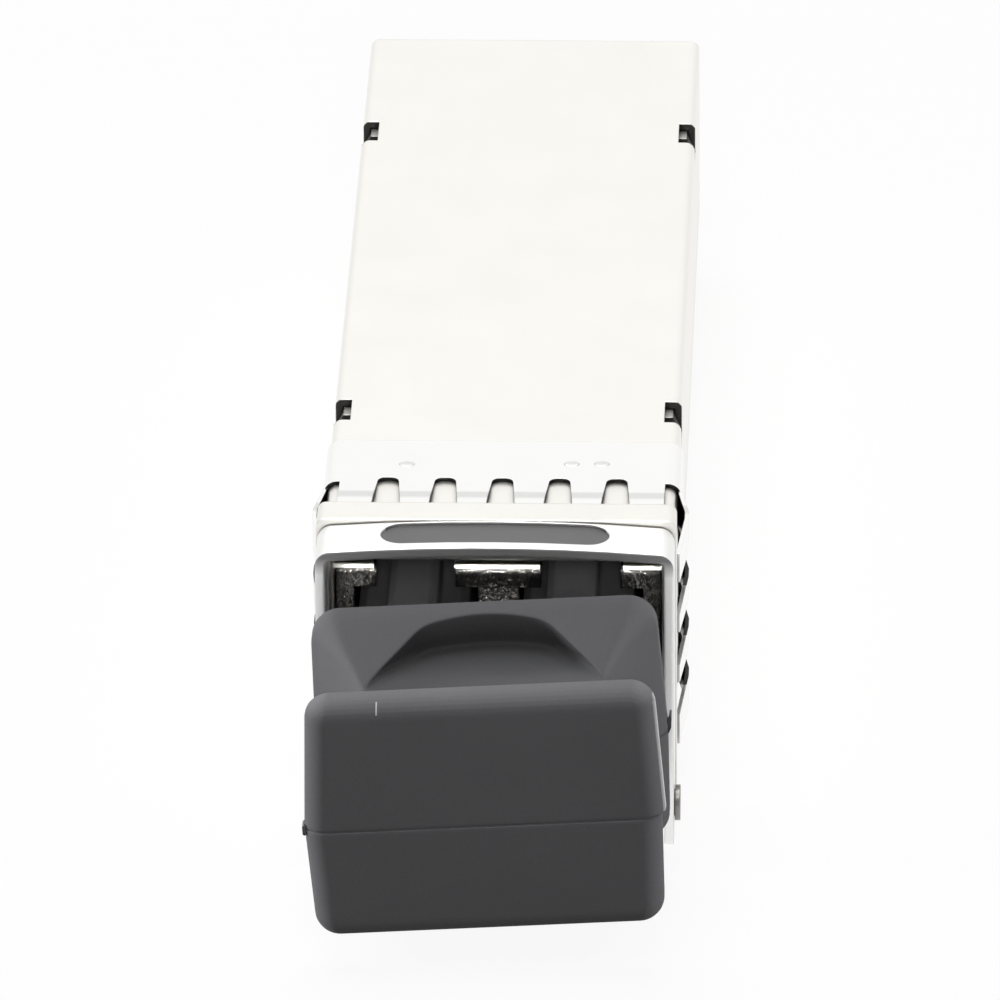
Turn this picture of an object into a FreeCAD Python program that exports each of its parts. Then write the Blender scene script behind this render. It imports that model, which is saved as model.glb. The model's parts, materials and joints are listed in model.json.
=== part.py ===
"""Pluggable optical transceiver with a duplex fibre port, a bail, a latch lever and a rubber dust plug.

Lengths are in millimetres. The datum is the stop plane, which is the rear face of the front flange, on the
centre line and on the underside of the body: +Y runs into the cage, -Y towards the fibre, +Z up.
The exported parts are shifted so that the origin is the middle of the footprint.
"""
import FreeCAD
import Part
import math
import os

V = FreeCAD.Vector

# Body that slides into the cage
BODY_W = 13.4
BODY_H = 8.5
BODY_L = 47.5
BOTTOM_CHAMFER = 1.1
FLOOR_T = 0.9
WALL_T = 0.56
FLOOR_SHORT = 0.5
CORNER_R = 0.4

# Stamped cover
COVER_T = 0.3
COVER_BEND_R = 0.35
COVER_GAP = 0.04
COVER_EDGE_Z = 2.3
CLIP_FIRST = 12.3
CLIP_PITCH = 26.1
CLIP_L = 1.85
CLIP_INSET = 0.66
CLIP_DROP = 1.25
CLIP_LUG_GAP = 0.25
CLIP_LUG_START = 0.2

# Head in front of the cage
HEAD_RISE = 2.0
HEAD_DROP = 2.0
FLANGE_T = 1.48
FLANGE_STEP = 0.075
FLANGE_R = 0.35
FLANGE_RIM = 0.47
FLANGE_WEB = 0.2
CHIN_STEP = 0.03
CHIN_R = 0.7

# Duplex fibre port
PORT_PITCH = 6.25
PORT_SIZE = 4.7
PORT_RECESS = 0.74
PORT_END = 8.2
NOTCH_W = 3.0
TOOTH_H = 0.95
TOOTH_T = 1.45
TOOTH_EDGE_R = 0.5
LATCH_WINDOW_L = 2.4
RECEPTACLE_BACK_T = 0.8
RECEPTACLE_FLOOR = 0.28
NOSE_WALL = 0.48
NOSE_ROOF = 0.2
SEAT_GAP = 0.05

# Spring-finger collar
COLLAR_T = 0.15
COLLAR_TAIL = 0.5
COLLAR_BAND = 3.7
COLLAR_SINK = 0.1
FINGER_RISE = 0.46
FINGER_APEX = 3.7
FINGER_FLAT = 0.3
FINGER_TIP = 0.35
FINGER_LIFT = 0.03
SLOT_END_W = 0.78
SLOT_TIP_W = 1.55
SLOT_ROUND_R = 0.34
TOP_SLOTS = 5
TOP_SLOT_PITCH = 2.18
SIDE_SLOTS = 3
SIDE_SLOT_PITCH = 2.11
TOP_RELIEF = 0.48
SIDE_RELIEF = 0.15

# Bail
BAIL_T = 0.36
BAIL_INSET = 0.05
BAIL_FRONT = 3.9
BAIL_GAP = 0.08
BAIL_R = 0.6
BAIL_CROWN = 0.24
BAIL_FRONT_R = 0.3
BAIL_BACK_R = 1.2
BAIL_SLOT_L = 8.6
BAIL_SLOT_W = 1.72
BAIL_SLOT_BACK = 0.1
INLAY_SINK = 0.1
INLAY_GAP = 0.02

# Cam pin that carries the bail
PIN_Y = -2.92
PIN_Z = -0.6
PIN_D = 1.0
PIN_GAP = 0.03
PIN_HEAD_D = 1.36
PIN_HEAD_T = 0.2
CAM_THROW = 0.85
CAM_D = 1.0
CAM_L = 4.6
CAM_WEB_T = 0.6
CAM_WEB_SINK = 0.07

# Latch lever in its channel
CHANNEL_W = 6.3
CHANNEL_ROOF = 0.32
CHANNEL_END_GAP = 0.4
LEVER_W = 5.6
LEVER_T = 0.4
LEVER_FRONT = -3.35
LEVER_CUT = 0.4
LEVER_HINGE_Y = 9.5
KNUCKLE_GAP = 0.05
LEVER_PIN_D = 0.6
LEVER_PIN_GAP = 0.03
LEVER_PIN_GRIP = 1.2
BOSS_FRONT = 2.5
BOSS_L = 2.6
BOSS_W = 2.6
BOSS_H = 0.45
SPRING_T = 0.12
SPRING_W = 2.4
SPRING_FRONT = -0.6
SPRING_REAR = 7.6
SPRING_REST = 0.16

# Optics
BARREL_D = 3.0
BARREL_TIP = 2.6
FERRULE_D = 1.25
SLEEVE_T = 0.35
SLEEVE_L = 4.2
SLEEVE_SLIT = 0.3
BARREL_FLANGE_STEP = 0.05
BARREL_FLANGE_T = 1.0
NECK_STEP = 0.35
NECK_L = 1.5
CAN_STEP = 0.25
CAN_L = 2.5
HEADER_GAP = 0.075
HEADER_APART = 0.6
HEADER_T = 0.9
GASKET_T = 0.5
HOLE_GAP = 0.06
CLAMP_T = 0.55
CLAMP_SIDE_GAP = 0.1
CLAMP_TOP_GAP = 0.18
CLAMP_CUT = 0.4

# Circuit board and what it carries
BOARD_Z = 2.25
BOARD_T = 1.0
BOARD_FRONT_GAP = 2.0
BOARD_SIDE_GAP = 0.2
TONGUE_W = 9.2
TONGUE_L = 6.7
TONGUE_REST = 1.25
RAIL_W = 0.9
RAIL_INSET = 1.5
RAIL_END_GAP = 0.7
POST_Y = 28.6
POST_D = 1.1
POST_RISE = 1.3
POST_GAP = 0.06
CONTACTS = 10
CONTACT_PITCH = 0.8
CONTACT_W = 0.6
CONTACT_T = 0.05
CONTACT_L = 2.9
CONTACT_INSET = 0.25
FLEX_T = 0.14
FLEX_W = 3.6
FLEX_R = 0.9
FLEX_TOP = 2.1
FLEX_REACH = 5.7
CHIP_H = 0.85
DRIVER_SIZE = 4.0
AMPLIFIER_SIZE = 3.6
CONTROLLER_SIZE = 5.0
CHIP_X = 2.8
CHIP_CHAMFER = 0.3
CAP_L = 1.0
CAP_W = 0.5
CAP_H = 0.5
CAP_GAP = 0.4
CAP_FLEX_GAP = 0.15
CAP_ROW_PITCH = 1.4
CAP_PITCH = 1.65
CAPS_IN_ROW = 6
INDUCTOR_L = 1.6
INDUCTOR_W = 0.9
INDUCTOR_H = 0.9
INDUCTOR_GAP = 0.3
INDUCTOR_X = 4.4
PAD_L = 9.0
PAD_W = 8.0

# Rubber dust plug
PLUG_ROLL = 3.4
PLUG_BACK = 6.45
PLUG_FRONT = 14.55
PLUG_RIM_T = 0.95
PLUG_RIM_STEP = 0.04
PLUG_RIM_UP = 5.4
PLUG_RIM_DOWN = 4.4
PLUG_RIM_R = 1.1
PLUG_PLATE_T = 1.25
PLUG_PLATE_INSET = 0.14
PLUG_PLATE_UP = 5.27
PLUG_PLATE_DOWN = 4.32
PLUG_PLATE_R = 0.95
PLUG_DRAFT = 0.13
PLUG_EDGE_R = 0.45
PLUG_RIM_BEVEL = 0.22
PLUG_NECK_STEP = 0.6
PLUG_NECK_FRONT_W = 7.6
PLUG_NECK_SLOPE = 20.0
PLUG_NECK_CUT = 0.4
PLUG_NECK_SAG = 0.18
SCOOP_R = 4.57
SCOOP_DEPTH = 1.2
SCOOP_SETBACK = 0.4
PARTING_W = 0.07
PARTING_DEPTH = 0.06
FLASH_H = 0.32
FLASH_L = 0.8
PRONG_SIDE_GAP = 0.25
PRONG_TOP_GAP = 0.4
PRONG_CUT = 0.35
PRONG_BACK = 0.6
PRONG_BORE_GAP = 0.3
PRONG_BORE_ROOM = 0.9
RIB_W = 1.85
RIB_TOP_GAP = 0.65
RIB_INSET = 0.125
RIB_CUT = 0.3

# Levels and places that follow from the sizes above
AXIS_Z = BODY_H / 2
HALF = BODY_W / 2
COVER_IN = HALF - COVER_T - COVER_GAP
ROOM = COVER_IN - WALL_T
WALL_TOP = BODY_H - COVER_T - COVER_GAP
HEAD_TOP = BODY_H + HEAD_RISE
HEAD_LOW = -HEAD_DROP
SEAT_HALF = HALF - COLLAR_SINK / 5
SEAT_LOW = COLLAR_SINK
SEAT_TOP = BODY_H - COLLAR_SINK
POCKET_HALF = SEAT_HALF - NOSE_WALL
POCKET_TOP = SEAT_TOP - NOSE_ROOF
PORT_LOW = AXIS_Z - PORT_SIZE / 2
PORT_TOP = AXIS_Z + PORT_SIZE / 2
POCKET_LOW = PORT_LOW - RECEPTACLE_FLOOR - SEAT_GAP
CHIN_TOP = POCKET_LOW + CHIN_STEP
CHANNEL_TOP = POCKET_LOW - CHANNEL_ROOF
KNUCKLE_D = CHANNEL_TOP - KNUCKLE_GAP
CHANNEL_REAR = LEVER_HINGE_Y + KNUCKLE_D / 2 + CHANNEL_END_GAP
RECEPTACLE_END = PORT_END + RECEPTACLE_BACK_T
COLLAR_END = RECEPTACLE_END + COLLAR_TAIL
BOARD_TOP = BOARD_Z + BOARD_T
BOARD_W = 2 * (ROOM - BOARD_SIDE_GAP)
FLANGE_W = BODY_W + 2 * FLANGE_STEP
BAIL_W = FLANGE_W - 2 * BAIL_INSET
BAIL_HALF = BAIL_W / 2
BAIL_IN = BAIL_HALF - BAIL_T
CHEEK_HALF = BAIL_IN - BAIL_GAP
HEADER_D = 2 * min(ROOM - PORT_PITCH / 2 - HEADER_GAP, PORT_PITCH / 2 - HEADER_APART / 2)
CAN_D = HEADER_D - 2 * CAN_STEP
BARREL_FLANGE_D = CAN_D - 2 * BARREL_FLANGE_STEP
NECK_D = BARREL_FLANGE_D - 2 * NECK_STEP
CLAMP_W = 2 * (ROOM - CLAMP_SIDE_GAP)
PLUG_PLATE_W = FLANGE_W - 2 * PLUG_PLATE_INSET
PLUG_RIM_W = PLUG_PLATE_W - 2 * PLUG_RIM_STEP
PLUG_NECK_BACK_W = PLUG_RIM_W - 2 * PLUG_NECK_STEP
PRONG_W = PORT_SIZE - 2 * PRONG_SIDE_GAP
PRONG_H = PORT_SIZE - 2 * PRONG_TOP_GAP
RIB_TOP = POCKET_TOP - RIB_TOP_GAP
RIB_PITCH = PORT_PITCH - 2 * RIB_INSET
GASKET_Y = RECEPTACLE_END + SEAT_GAP
FLANGE_Y = GASKET_Y + GASKET_T + SEAT_GAP
NECK_Y = FLANGE_Y + BARREL_FLANGE_T
CLAMP_Y = NECK_Y + SEAT_GAP
CAN_Y = NECK_Y + NECK_L
HEADER_Y = CAN_Y + CAN_L
OPTICS_END = HEADER_Y + HEADER_T
FLEX_END = OPTICS_END + FLEX_REACH
FIRST_CAPS = FLEX_END + CAP_FLEX_GAP + CAP_L / 2
CAP_BESIDE = CAP_GAP + CAP_L / 2
CHIP_ROW = FIRST_CAPS + CAP_BESIDE + DRIVER_SIZE / 2
SECOND_CAPS = CHIP_ROW + DRIVER_SIZE / 2 + CAP_BESIDE
CONTROLLER_Y = SECOND_CAPS + CAP_BESIDE + CONTROLLER_SIZE / 2
THIRD_CAPS = CONTROLLER_Y + CONTROLLER_SIZE / 2 + CAP_BESIDE
FOURTH_CAPS = THIRD_CAPS + CAP_ROW_PITCH
BOARD_FRONT = OPTICS_END + BOARD_FRONT_GAP
TONGUE_START = FOURTH_CAPS + CAP_L / 2 + TONGUE_REST
BOARD_END = TONGUE_START + TONGUE_L
FLOOR_END = TONGUE_START - FLOOR_SHORT
RAIL_FRONT = BOARD_FRONT + RAIL_INSET
RAIL_REAR = FLOOR_END - RAIL_END_GAP
PORTS = (-PORT_PITCH / 2, PORT_PITCH / 2)
CLIP_ROWS = (CLIP_FIRST, CLIP_FIRST + CLIP_PITCH)
SHIFT = V(0, (PLUG_FRONT - BODY_L) / 2, HEAD_DROP)


def box(x0, x1, y0, y1, z0, z1):
    return Part.makeBox(x1 - x0, y1 - y0, z1 - z0, V(x0, y0, z0))


def rod(x, y, z, diameter, length, axis):
    return Part.makeCylinder(diameter / 2, length, V(x, y, z), axis)


def rounded(corners, place):
    """Closed wire through corners (u, v, radius); place turns (u, v) into a point in space."""
    count = len(corners)
    starts = []
    ends = []
    mids = []
    for i in range(count):
        u, v, radius = corners[i]
        here = V(u, v, 0)
        before = V(corners[i - 1][0], corners[i - 1][1], 0) - here
        after = V(corners[(i + 1) % count][0], corners[(i + 1) % count][1], 0) - here
        before.normalize()
        after.normalize()
        half = before.getAngle(after) / 2
        reach = radius / math.tan(half)
        inward = before + after
        starts.append(here + before * reach)
        ends.append(here + after * reach)
        mids.append(here)
        if radius > 0:
            inward.normalize()
            mids[i] = here + inward * (radius / math.sin(half) - radius)
    edges = []
    for i in range(count):
        if corners[i][2] > 0:
            arc = Part.Arc(place(starts[i]), place(mids[i]), place(ends[i]))
            edges.append(arc.toShape())
        following = starts[(i + 1) % count]
        if (following - ends[i]).Length > 1e-6:
            edges.append(Part.makeLine(place(ends[i]), place(following)))
    return Part.Wire(edges)


def prism_y(corners, y0, y1):
    """Solid with its outline in the XZ plane, from y0 to y1."""
    wire = rounded(corners, lambda p: V(p.x, y0, p.y))
    return Part.Face(wire).extrude(V(0, y1 - y0, 0))


def prism_z(corners, z0, z1):
    """Solid with its outline in the XY plane, from z0 to z1."""
    wire = rounded(corners, lambda p: V(p.x, p.y, z0))
    return Part.Face(wire).extrude(V(0, 0, z1 - z0))


def prism_x(corners, x0, x1):
    """Solid with its outline in the YZ plane, from x0 to x1."""
    wire = rounded(corners, lambda p: V(x0, p.x, p.y))
    return Part.Face(wire).extrude(V(x1 - x0, 0, 0))


def frame_corners(half, low, top, radius):
    return [(-half, low, radius), (half, low, radius), (half, top, radius), (-half, top, radius)]


def plate_corners(half_w, y0, y1, radius):
    return [(-half_w, y0, radius), (half_w, y0, radius), (half_w, y1, radius), (-half_w, y1, radius)]


def cut_corners(half, low, top, cut):
    """Rectangle with its four corners cut off at 45 degrees."""
    return [
        (-half + cut, low, 0),
        (half - cut, low, 0),
        (half, low + cut, 0),
        (half, top - cut, 0),
        (half - cut, top, 0),
        (-half + cut, top, 0),
        (-half, top - cut, 0),
        (-half, low + cut, 0),
    ]


def fuse(shapes):
    return shapes[0].multiFuse(shapes[1:]).removeSplitter()


def mirror_x(shape):
    return shape.mirror(V(0, 0, 0), V(1, 0, 0))


def base_housing():
    ledge = COVER_EDGE_Z - COVER_GAP
    tray_outline = [
        (-HALF + BOTTOM_CHAMFER, 0, 0),
        (HALF - BOTTOM_CHAMFER, 0, 0),
        (HALF, BOTTOM_CHAMFER, 0),
        (HALF, ledge, 0),
        (COVER_IN, ledge, 0),
        (COVER_IN, WALL_TOP, 0),
        (-COVER_IN, WALL_TOP, 0),
        (-COVER_IN, ledge, 0),
        (-HALF, ledge, 0),
        (-HALF, BOTTOM_CHAMFER, 0),
    ]
    tray = prism_y(tray_outline, COLLAR_END, BODY_L)
    tray = tray.cut(box(-ROOM, ROOM, COLLAR_END, BODY_L + 1, FLOOR_T, BODY_H))
    tray = tray.cut(box(-ROOM, ROOM, FLOOR_END, BODY_L + 1, -1, BODY_H))
    nose = prism_y(frame_corners(SEAT_HALF, SEAT_LOW, SEAT_TOP, CORNER_R), -FLANGE_T / 2, COLLAR_END)
    flange = prism_y(frame_corners(FLANGE_W / 2, HEAD_LOW, HEAD_TOP, FLANGE_R), -FLANGE_T, 0)
    chin_outline = [
        (-FLANGE_T / 2, HEAD_LOW, 0),
        (-BAIL_FRONT, HEAD_LOW, CHIN_R),
        (-BAIL_FRONT, CHIN_TOP, CHIN_R),
        (-FLANGE_T / 2, CHIN_TOP, 0),
    ]
    chin = prism_x(chin_outline, -CHEEK_HALF, CHEEK_HALF)
    solid = fuse([tray, nose, flange, chin])
    solid = solid.cut(box(-POCKET_HALF, POCKET_HALF, -FLANGE_T - 1, COLLAR_END + 0.5, POCKET_LOW, POCKET_TOP))
    rim = FLANGE_W / 2 - FLANGE_RIM
    mouth = frame_corners(rim, CHIN_TOP, HEAD_TOP - FLANGE_RIM, FLANGE_R / 2)
    solid = solid.cut(prism_y(mouth, -FLANGE_T - 1, -FLANGE_WEB))
    hump_half = CHANNEL_W / 2 + LEVER_PIN_GRIP + WALL_T
    hump_rear = CHANNEL_REAR + WALL_T
    solid = solid.fuse(box(-hump_half, hump_half, COLLAR_END, hump_rear, FLOOR_T / 2, POCKET_LOW))
    channel_half = CHANNEL_W / 2
    front = -BAIL_FRONT - 1
    solid = solid.cut(box(-channel_half, channel_half, front, CHANNEL_REAR, HEAD_LOW - 1, CHANNEL_TOP))
    pin_hole = rod(-FLANGE_W, PIN_Y, PIN_Z, PIN_D + 2 * PIN_GAP, 2 * FLANGE_W, V(1, 0, 0))
    lever_pin_half = channel_half + LEVER_PIN_GRIP
    hinge_z = KNUCKLE_D / 2
    lever_hole = rod(-lever_pin_half, LEVER_HINGE_Y, hinge_z, LEVER_PIN_D, 2 * lever_pin_half, V(1, 0, 0))
    solid = solid.cut(pin_hole.fuse(lever_hole))
    rail = box(ROOM - RAIL_W, ROOM + 0.1, RAIL_FRONT, RAIL_REAR, FLOOR_T / 2, BOARD_Z)
    post = rod(BOARD_W / 2, POST_Y, BOARD_Z - 0.1, POST_D, POST_RISE + 0.1, V(0, 0, 1))
    solid = fuse([solid, rail, mirror_x(rail), post, mirror_x(post)])
    for row in CLIP_ROWS:
        reach = CLIP_L / 2 - CLIP_LUG_GAP
        lug_outline = [
            (COVER_IN - 0.1, WALL_TOP, 0),
            (COVER_IN - 0.1, BODY_H - CLIP_DROP + CLIP_LUG_GAP, 0),
            (HALF - COVER_GAP, BODY_H - CLIP_DROP + CLIP_LUG_GAP, 0),
            (COVER_IN, WALL_TOP, 0),
        ]
        low = BODY_H - CLIP_DROP
        window = box(ROOM - 0.1, HALF, row - CLIP_L / 2, row + CLIP_LUG_START, low, BODY_H)
        solid = solid.cut(window).cut(mirror_x(window))
        lug = prism_y(lug_outline, row + CLIP_LUG_START, row + reach)
        solid = solid.fuse(lug).fuse(mirror_x(lug))
    return solid.removeSplitter()


def receptacle():
    half = POCKET_HALF - SEAT_GAP
    low = POCKET_LOW + SEAT_GAP
    top = PORT_TOP + TOOTH_H
    block_outline = [
        (PORT_RECESS, low, 0),
        (RECEPTACLE_END, low, 0),
        (RECEPTACLE_END, top, 0),
        (PORT_RECESS, top, TOOTH_EDGE_R),
    ]
    block = prism_x(block_outline, -half, half)
    for x in PORTS:
        side = PORT_SIZE / 2
        block = block.cut(box(x - side, x + side, PORT_RECESS - 1, PORT_END, PORT_LOW, PORT_TOP))
        block = block.cut(box(x - NOTCH_W / 2, x + NOTCH_W / 2, PORT_RECESS - 1, PORT_END, AXIS_Z, top + 1))
        window = PORT_RECESS + TOOTH_T
        block = block.cut(box(x - side, x + side, window, window + LATCH_WINDOW_L, AXIS_Z, top + 1))
        wall = RECEPTACLE_BACK_T
        hole = rod(x, PORT_END - wall, AXIS_Z, BARREL_D + 2 * HOLE_GAP, 3 * wall, V(0, 1, 0))
        block = block.cut(hole)
    return block


def finger_sheet(place, width_way):
    """One sheet of fingers: place turns (along Y, out from the seat) into a point, width_way is its width."""
    start = COLLAR_END - COLLAR_BAND
    crest = FINGER_APEX + FINGER_FLAT
    foot = FINGER_APEX - FINGER_FLAT
    over = [
        place(start, COLLAR_T),
        place(crest, FINGER_RISE),
        place(foot, FINGER_RISE),
        place(FINGER_TIP, COLLAR_T + FINGER_LIFT),
    ]
    under = [
        place(FINGER_TIP, FINGER_LIFT),
        place(foot, FINGER_RISE - COLLAR_T),
        place(crest, FINGER_RISE - COLLAR_T),
        place(start, 0),
    ]
    outline = Part.makePolygon(over + under + over[:1])
    return Part.Face(outline).extrude(width_way)


def slot_outline(middle, round_r):
    closed = COLLAR_END - COLLAR_BAND + SLOT_END_W / 2
    end = SLOT_END_W / 2
    tip = SLOT_TIP_W / 2
    return [
        (middle - end, closed, round_r),
        (middle - tip, -1, 0),
        (middle + tip, -1, 0),
        (middle + end, closed, round_r),
    ]


def emi_collar():
    start = COLLAR_END - COLLAR_BAND
    t = COLLAR_T
    skin = 0.005
    inner_half = SEAT_HALF + skin
    low = SEAT_LOW - skin
    top = SEAT_TOP + skin
    rear = COLLAR_END - COVER_GAP
    outer = prism_y(frame_corners(inner_half + t, low - t, top + t, CORNER_R + t), start, rear)
    inner = prism_y(frame_corners(inner_half, low, top, CORNER_R), start - 1, COLLAR_END + 1)
    band = outer.cut(inner)
    half_x = inner_half - TOP_RELIEF
    half_z = (top - low) / 2 - SIDE_RELIEF
    mid_z = (top + low) / 2
    upper = finger_sheet(lambda y, n: V(-half_x, y, top + n), V(2 * half_x, 0, 0))
    lower = finger_sheet(lambda y, n: V(-half_x, y, low - n), V(2 * half_x, 0, 0))
    right = finger_sheet(lambda y, n: V(inner_half + n, y, mid_z - half_z), V(0, 0, 2 * half_z))
    ring = fuse([band, upper, lower, right, mirror_x(right)])
    reach = 2 * BODY_W
    for i in range(TOP_SLOTS):
        x = (i - (TOP_SLOTS - 1) / 2) * TOP_SLOT_PITCH
        ring = ring.cut(prism_z(slot_outline(x, SLOT_ROUND_R), AXIS_Z, AXIS_Z + reach))
        ring = ring.cut(prism_z(slot_outline(x, 0), AXIS_Z - reach, AXIS_Z))
    for i in range(SIDE_SLOTS):
        z = mid_z + (i - (SIDE_SLOTS - 1) / 2) * SIDE_SLOT_PITCH
        corners = [(v, u, r) for u, v, r in slot_outline(z, 0)]
        ring = ring.cut(prism_x(corners, -reach, reach))
    gate = CHANNEL_W / 2
    ring = ring.cut(box(-gate, gate, -1, COLLAR_END + 1, low - 2, low + t))
    return ring.removeSplitter()


def top_cover():
    r = COVER_BEND_R
    t = COVER_T
    outline = [
        (-HALF, COVER_EDGE_Z, 0),
        (-HALF + t, COVER_EDGE_Z, 0),
        (-HALF + t, BODY_H - t, 0),
        (HALF - t, BODY_H - t, 0),
        (HALF - t, COVER_EDGE_Z, 0),
        (HALF, COVER_EDGE_Z, 0),
        (HALF, BODY_H, r),
        (-HALF, BODY_H, r),
    ]
    cover = prism_y(outline, COLLAR_END + COVER_GAP, BODY_L)
    for row in CLIP_ROWS:
        reach = CLIP_L / 2
        window = box(HALF - CLIP_INSET, HALF + 1, row - reach, row + reach, BODY_H - CLIP_DROP, BODY_H + 1)
        cover = cover.cut(window).cut(mirror_x(window))
    return cover


def bail_strap(sink):
    """Hoop over the head before it is pierced, its outer face set back by sink."""
    back = FLANGE_T + BAIL_GAP
    crown = HEAD_TOP - sink
    shoulder = crown - BAIL_CROWN
    straight = BAIL_HALF - BAIL_R
    inside = BAIL_R - BAIL_T
    depth = BAIL_R * (1 - math.sqrt(0.5))
    in_depth = inside * (1 - math.sqrt(0.5))

    def at(x, z):
        return V(x, -back, z)

    out_left = Part.Arc(at(-BAIL_HALF, shoulder - BAIL_R), at(-BAIL_HALF + depth, shoulder - depth),
                        at(-straight, shoulder))
    out_top = Part.Arc(at(-straight, shoulder), at(0, crown), at(straight, shoulder))
    out_right = Part.Arc(at(straight, shoulder), at(BAIL_HALF - depth, shoulder - depth),
                         at(BAIL_HALF, shoulder - BAIL_R))
    low = shoulder - BAIL_T
    in_right = Part.Arc(at(BAIL_IN, low - inside), at(BAIL_IN - in_depth, low - in_depth), at(straight, low))
    in_top = Part.Arc(at(straight, low), at(0, crown - BAIL_T), at(-straight, low))
    in_left = Part.Arc(at(-straight, low), at(-BAIL_IN + in_depth, low - in_depth),
                       at(-BAIL_IN, low - inside))
    wire = Part.Wire([
        out_left.toShape(),
        out_top.toShape(),
        out_right.toShape(),
        Part.makeLine(at(BAIL_HALF, shoulder - BAIL_R), at(BAIL_HALF, HEAD_LOW)),
        Part.makeLine(at(BAIL_HALF, HEAD_LOW), at(BAIL_IN, HEAD_LOW)),
        Part.makeLine(at(BAIL_IN, HEAD_LOW), at(BAIL_IN, low - inside)),
        in_right.toShape(),
        in_top.toShape(),
        in_left.toShape(),
        Part.makeLine(at(-BAIL_IN, low - inside), at(-BAIL_IN, HEAD_LOW)),
        Part.makeLine(at(-BAIL_IN, HEAD_LOW), at(-BAIL_HALF, HEAD_LOW)),
        Part.makeLine(at(-BAIL_HALF, HEAD_LOW), at(-BAIL_HALF, shoulder - BAIL_R)),
    ])
    return Part.Face(wire).extrude(V(0, back - BAIL_FRONT, 0))


def bail_slot(gap):
    half_w = BAIL_SLOT_W / 2 - gap
    y = -FLANGE_T - BAIL_GAP - BAIL_SLOT_BACK - BAIL_SLOT_W / 2
    corners = plate_corners(BAIL_SLOT_L / 2 - gap, y - half_w, y + half_w, 0.999 * half_w)
    return prism_z(corners, AXIS_Z, HEAD_TOP + 1)


def bail():
    back = FLANGE_T + BAIL_GAP
    side = prism_x([
        (-BAIL_FRONT, HEAD_LOW, BAIL_FRONT_R),
        (-back, HEAD_LOW, BAIL_BACK_R),
        (-back, HEAD_TOP + 1, 0),
        (-BAIL_FRONT, HEAD_TOP + 1, 0),
    ], -BAIL_W, BAIL_W)
    strap = bail_strap(0).common(side)
    holes = rod(-BAIL_W, PIN_Y, PIN_Z, PIN_D + PIN_GAP, 2 * BAIL_W, V(1, 0, 0))
    return strap.cut(bail_slot(0)).cut(holes)


def bail_inlay():
    """Grey code inlay that fills the slot of the bail to just below its outer face."""
    return bail_strap(0).common(bail_strap(INLAY_SINK)).common(bail_slot(INLAY_GAP))


def bail_cam_pin():
    along = V(1, 0, 0)
    inner = CAM_L / 2
    outer = BAIL_HALF + PIN_GAP
    journal = rod(inner - CAM_WEB_T, PIN_Y, PIN_Z, PIN_D, outer - inner + CAM_WEB_T + 0.1, along)
    head = rod(outer, PIN_Y, PIN_Z, PIN_HEAD_D, PIN_HEAD_T, along)
    reach = min(PIN_D, CAM_D) / 2 - CAM_WEB_SINK
    web = box(inner - CAM_WEB_T, inner, PIN_Y, PIN_Y + CAM_THROW, PIN_Z - reach, PIN_Z + reach)
    lobe = rod(-inner, PIN_Y + CAM_THROW, PIN_Z, CAM_D, CAM_L, along)
    right = fuse([journal, head, web])
    return fuse([lobe, right, mirror_x(right)])


def latch_lever():
    knuckle_r = KNUCKLE_D / 2
    plate = prism_z([
        (-LEVER_W / 2 + LEVER_CUT, LEVER_FRONT, 0),
        (LEVER_W / 2 - LEVER_CUT, LEVER_FRONT, 0),
        (LEVER_W / 2, LEVER_FRONT + LEVER_CUT, 0),
        (LEVER_W / 2, LEVER_HINGE_Y, 0),
        (-LEVER_W / 2, LEVER_HINGE_Y, 0),
        (-LEVER_W / 2, LEVER_FRONT + LEVER_CUT, 0),
    ], 0, LEVER_T)
    knuckle = rod(-LEVER_W / 2, LEVER_HINGE_Y, knuckle_r, KNUCKLE_D, LEVER_W, V(1, 0, 0))
    tip = BOSS_W / 5
    boss_outline = [
        (-BOSS_W / 2, BOSS_FRONT, 0),
        (BOSS_W / 2, BOSS_FRONT, 0),
        (tip, BOSS_FRONT + BOSS_L, 0),
        (-tip, BOSS_FRONT + BOSS_L, 0),
    ]
    boss = prism_z(boss_outline, -BOSS_H, LEVER_T / 2)
    ramp = prism_x([
        (BOSS_FRONT + BOSS_L / 2, -BOSS_H - 0.01, 0),
        (BOSS_FRONT + BOSS_L + 0.01, -BOSS_H - 0.01, 0),
        (BOSS_FRONT + BOSS_L + 0.01, 0, 0),
    ], -BOSS_W, BOSS_W)
    bore = rod(-LEVER_W, LEVER_HINGE_Y, knuckle_r, LEVER_PIN_D + 2 * LEVER_PIN_GAP, 2 * LEVER_W, V(1, 0, 0))
    return fuse([plate, knuckle, boss.cut(ramp)]).cut(bore)


def latch_pivot_pin():
    half = CHANNEL_W / 2 + LEVER_PIN_GRIP - SEAT_GAP
    return rod(-half, LEVER_HINGE_Y, KNUCKLE_D / 2, LEVER_PIN_D - 0.01, 2 * half, V(1, 0, 0))


def latch_spring():
    """Bowed leaf: its ends bear on the roof of the channel, its middle on the lever."""
    roof = CHANNEL_TOP - 0.01
    dip = LEVER_T + SPRING_REST
    middle = (SPRING_FRONT + SPRING_REAR) / 2

    def at(y, z):
        return V(-SPRING_W / 2, y, z)

    low = roof - SPRING_T
    over = Part.Arc(at(SPRING_FRONT, roof), at(middle, dip + SPRING_T), at(SPRING_REAR, roof)).toShape()
    under = Part.Arc(at(SPRING_REAR, low), at(middle, dip), at(SPRING_FRONT, low)).toShape()
    front = Part.makeLine(at(SPRING_FRONT, low), at(SPRING_FRONT, roof))
    rear = Part.makeLine(at(SPRING_REAR, roof), at(SPRING_REAR, low))
    return Part.Face(Part.Wire([over, rear, under, front])).extrude(V(SPRING_W, 0, 0))


def turned(x, steps):
    """Turned piece on a fibre axis from (start, end, diameter) steps."""
    pieces = [rod(x, y0, AXIS_Z, d, y1 - y0, V(0, 1, 0)) for y0, y1, d in steps]
    return fuse(pieces)


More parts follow.
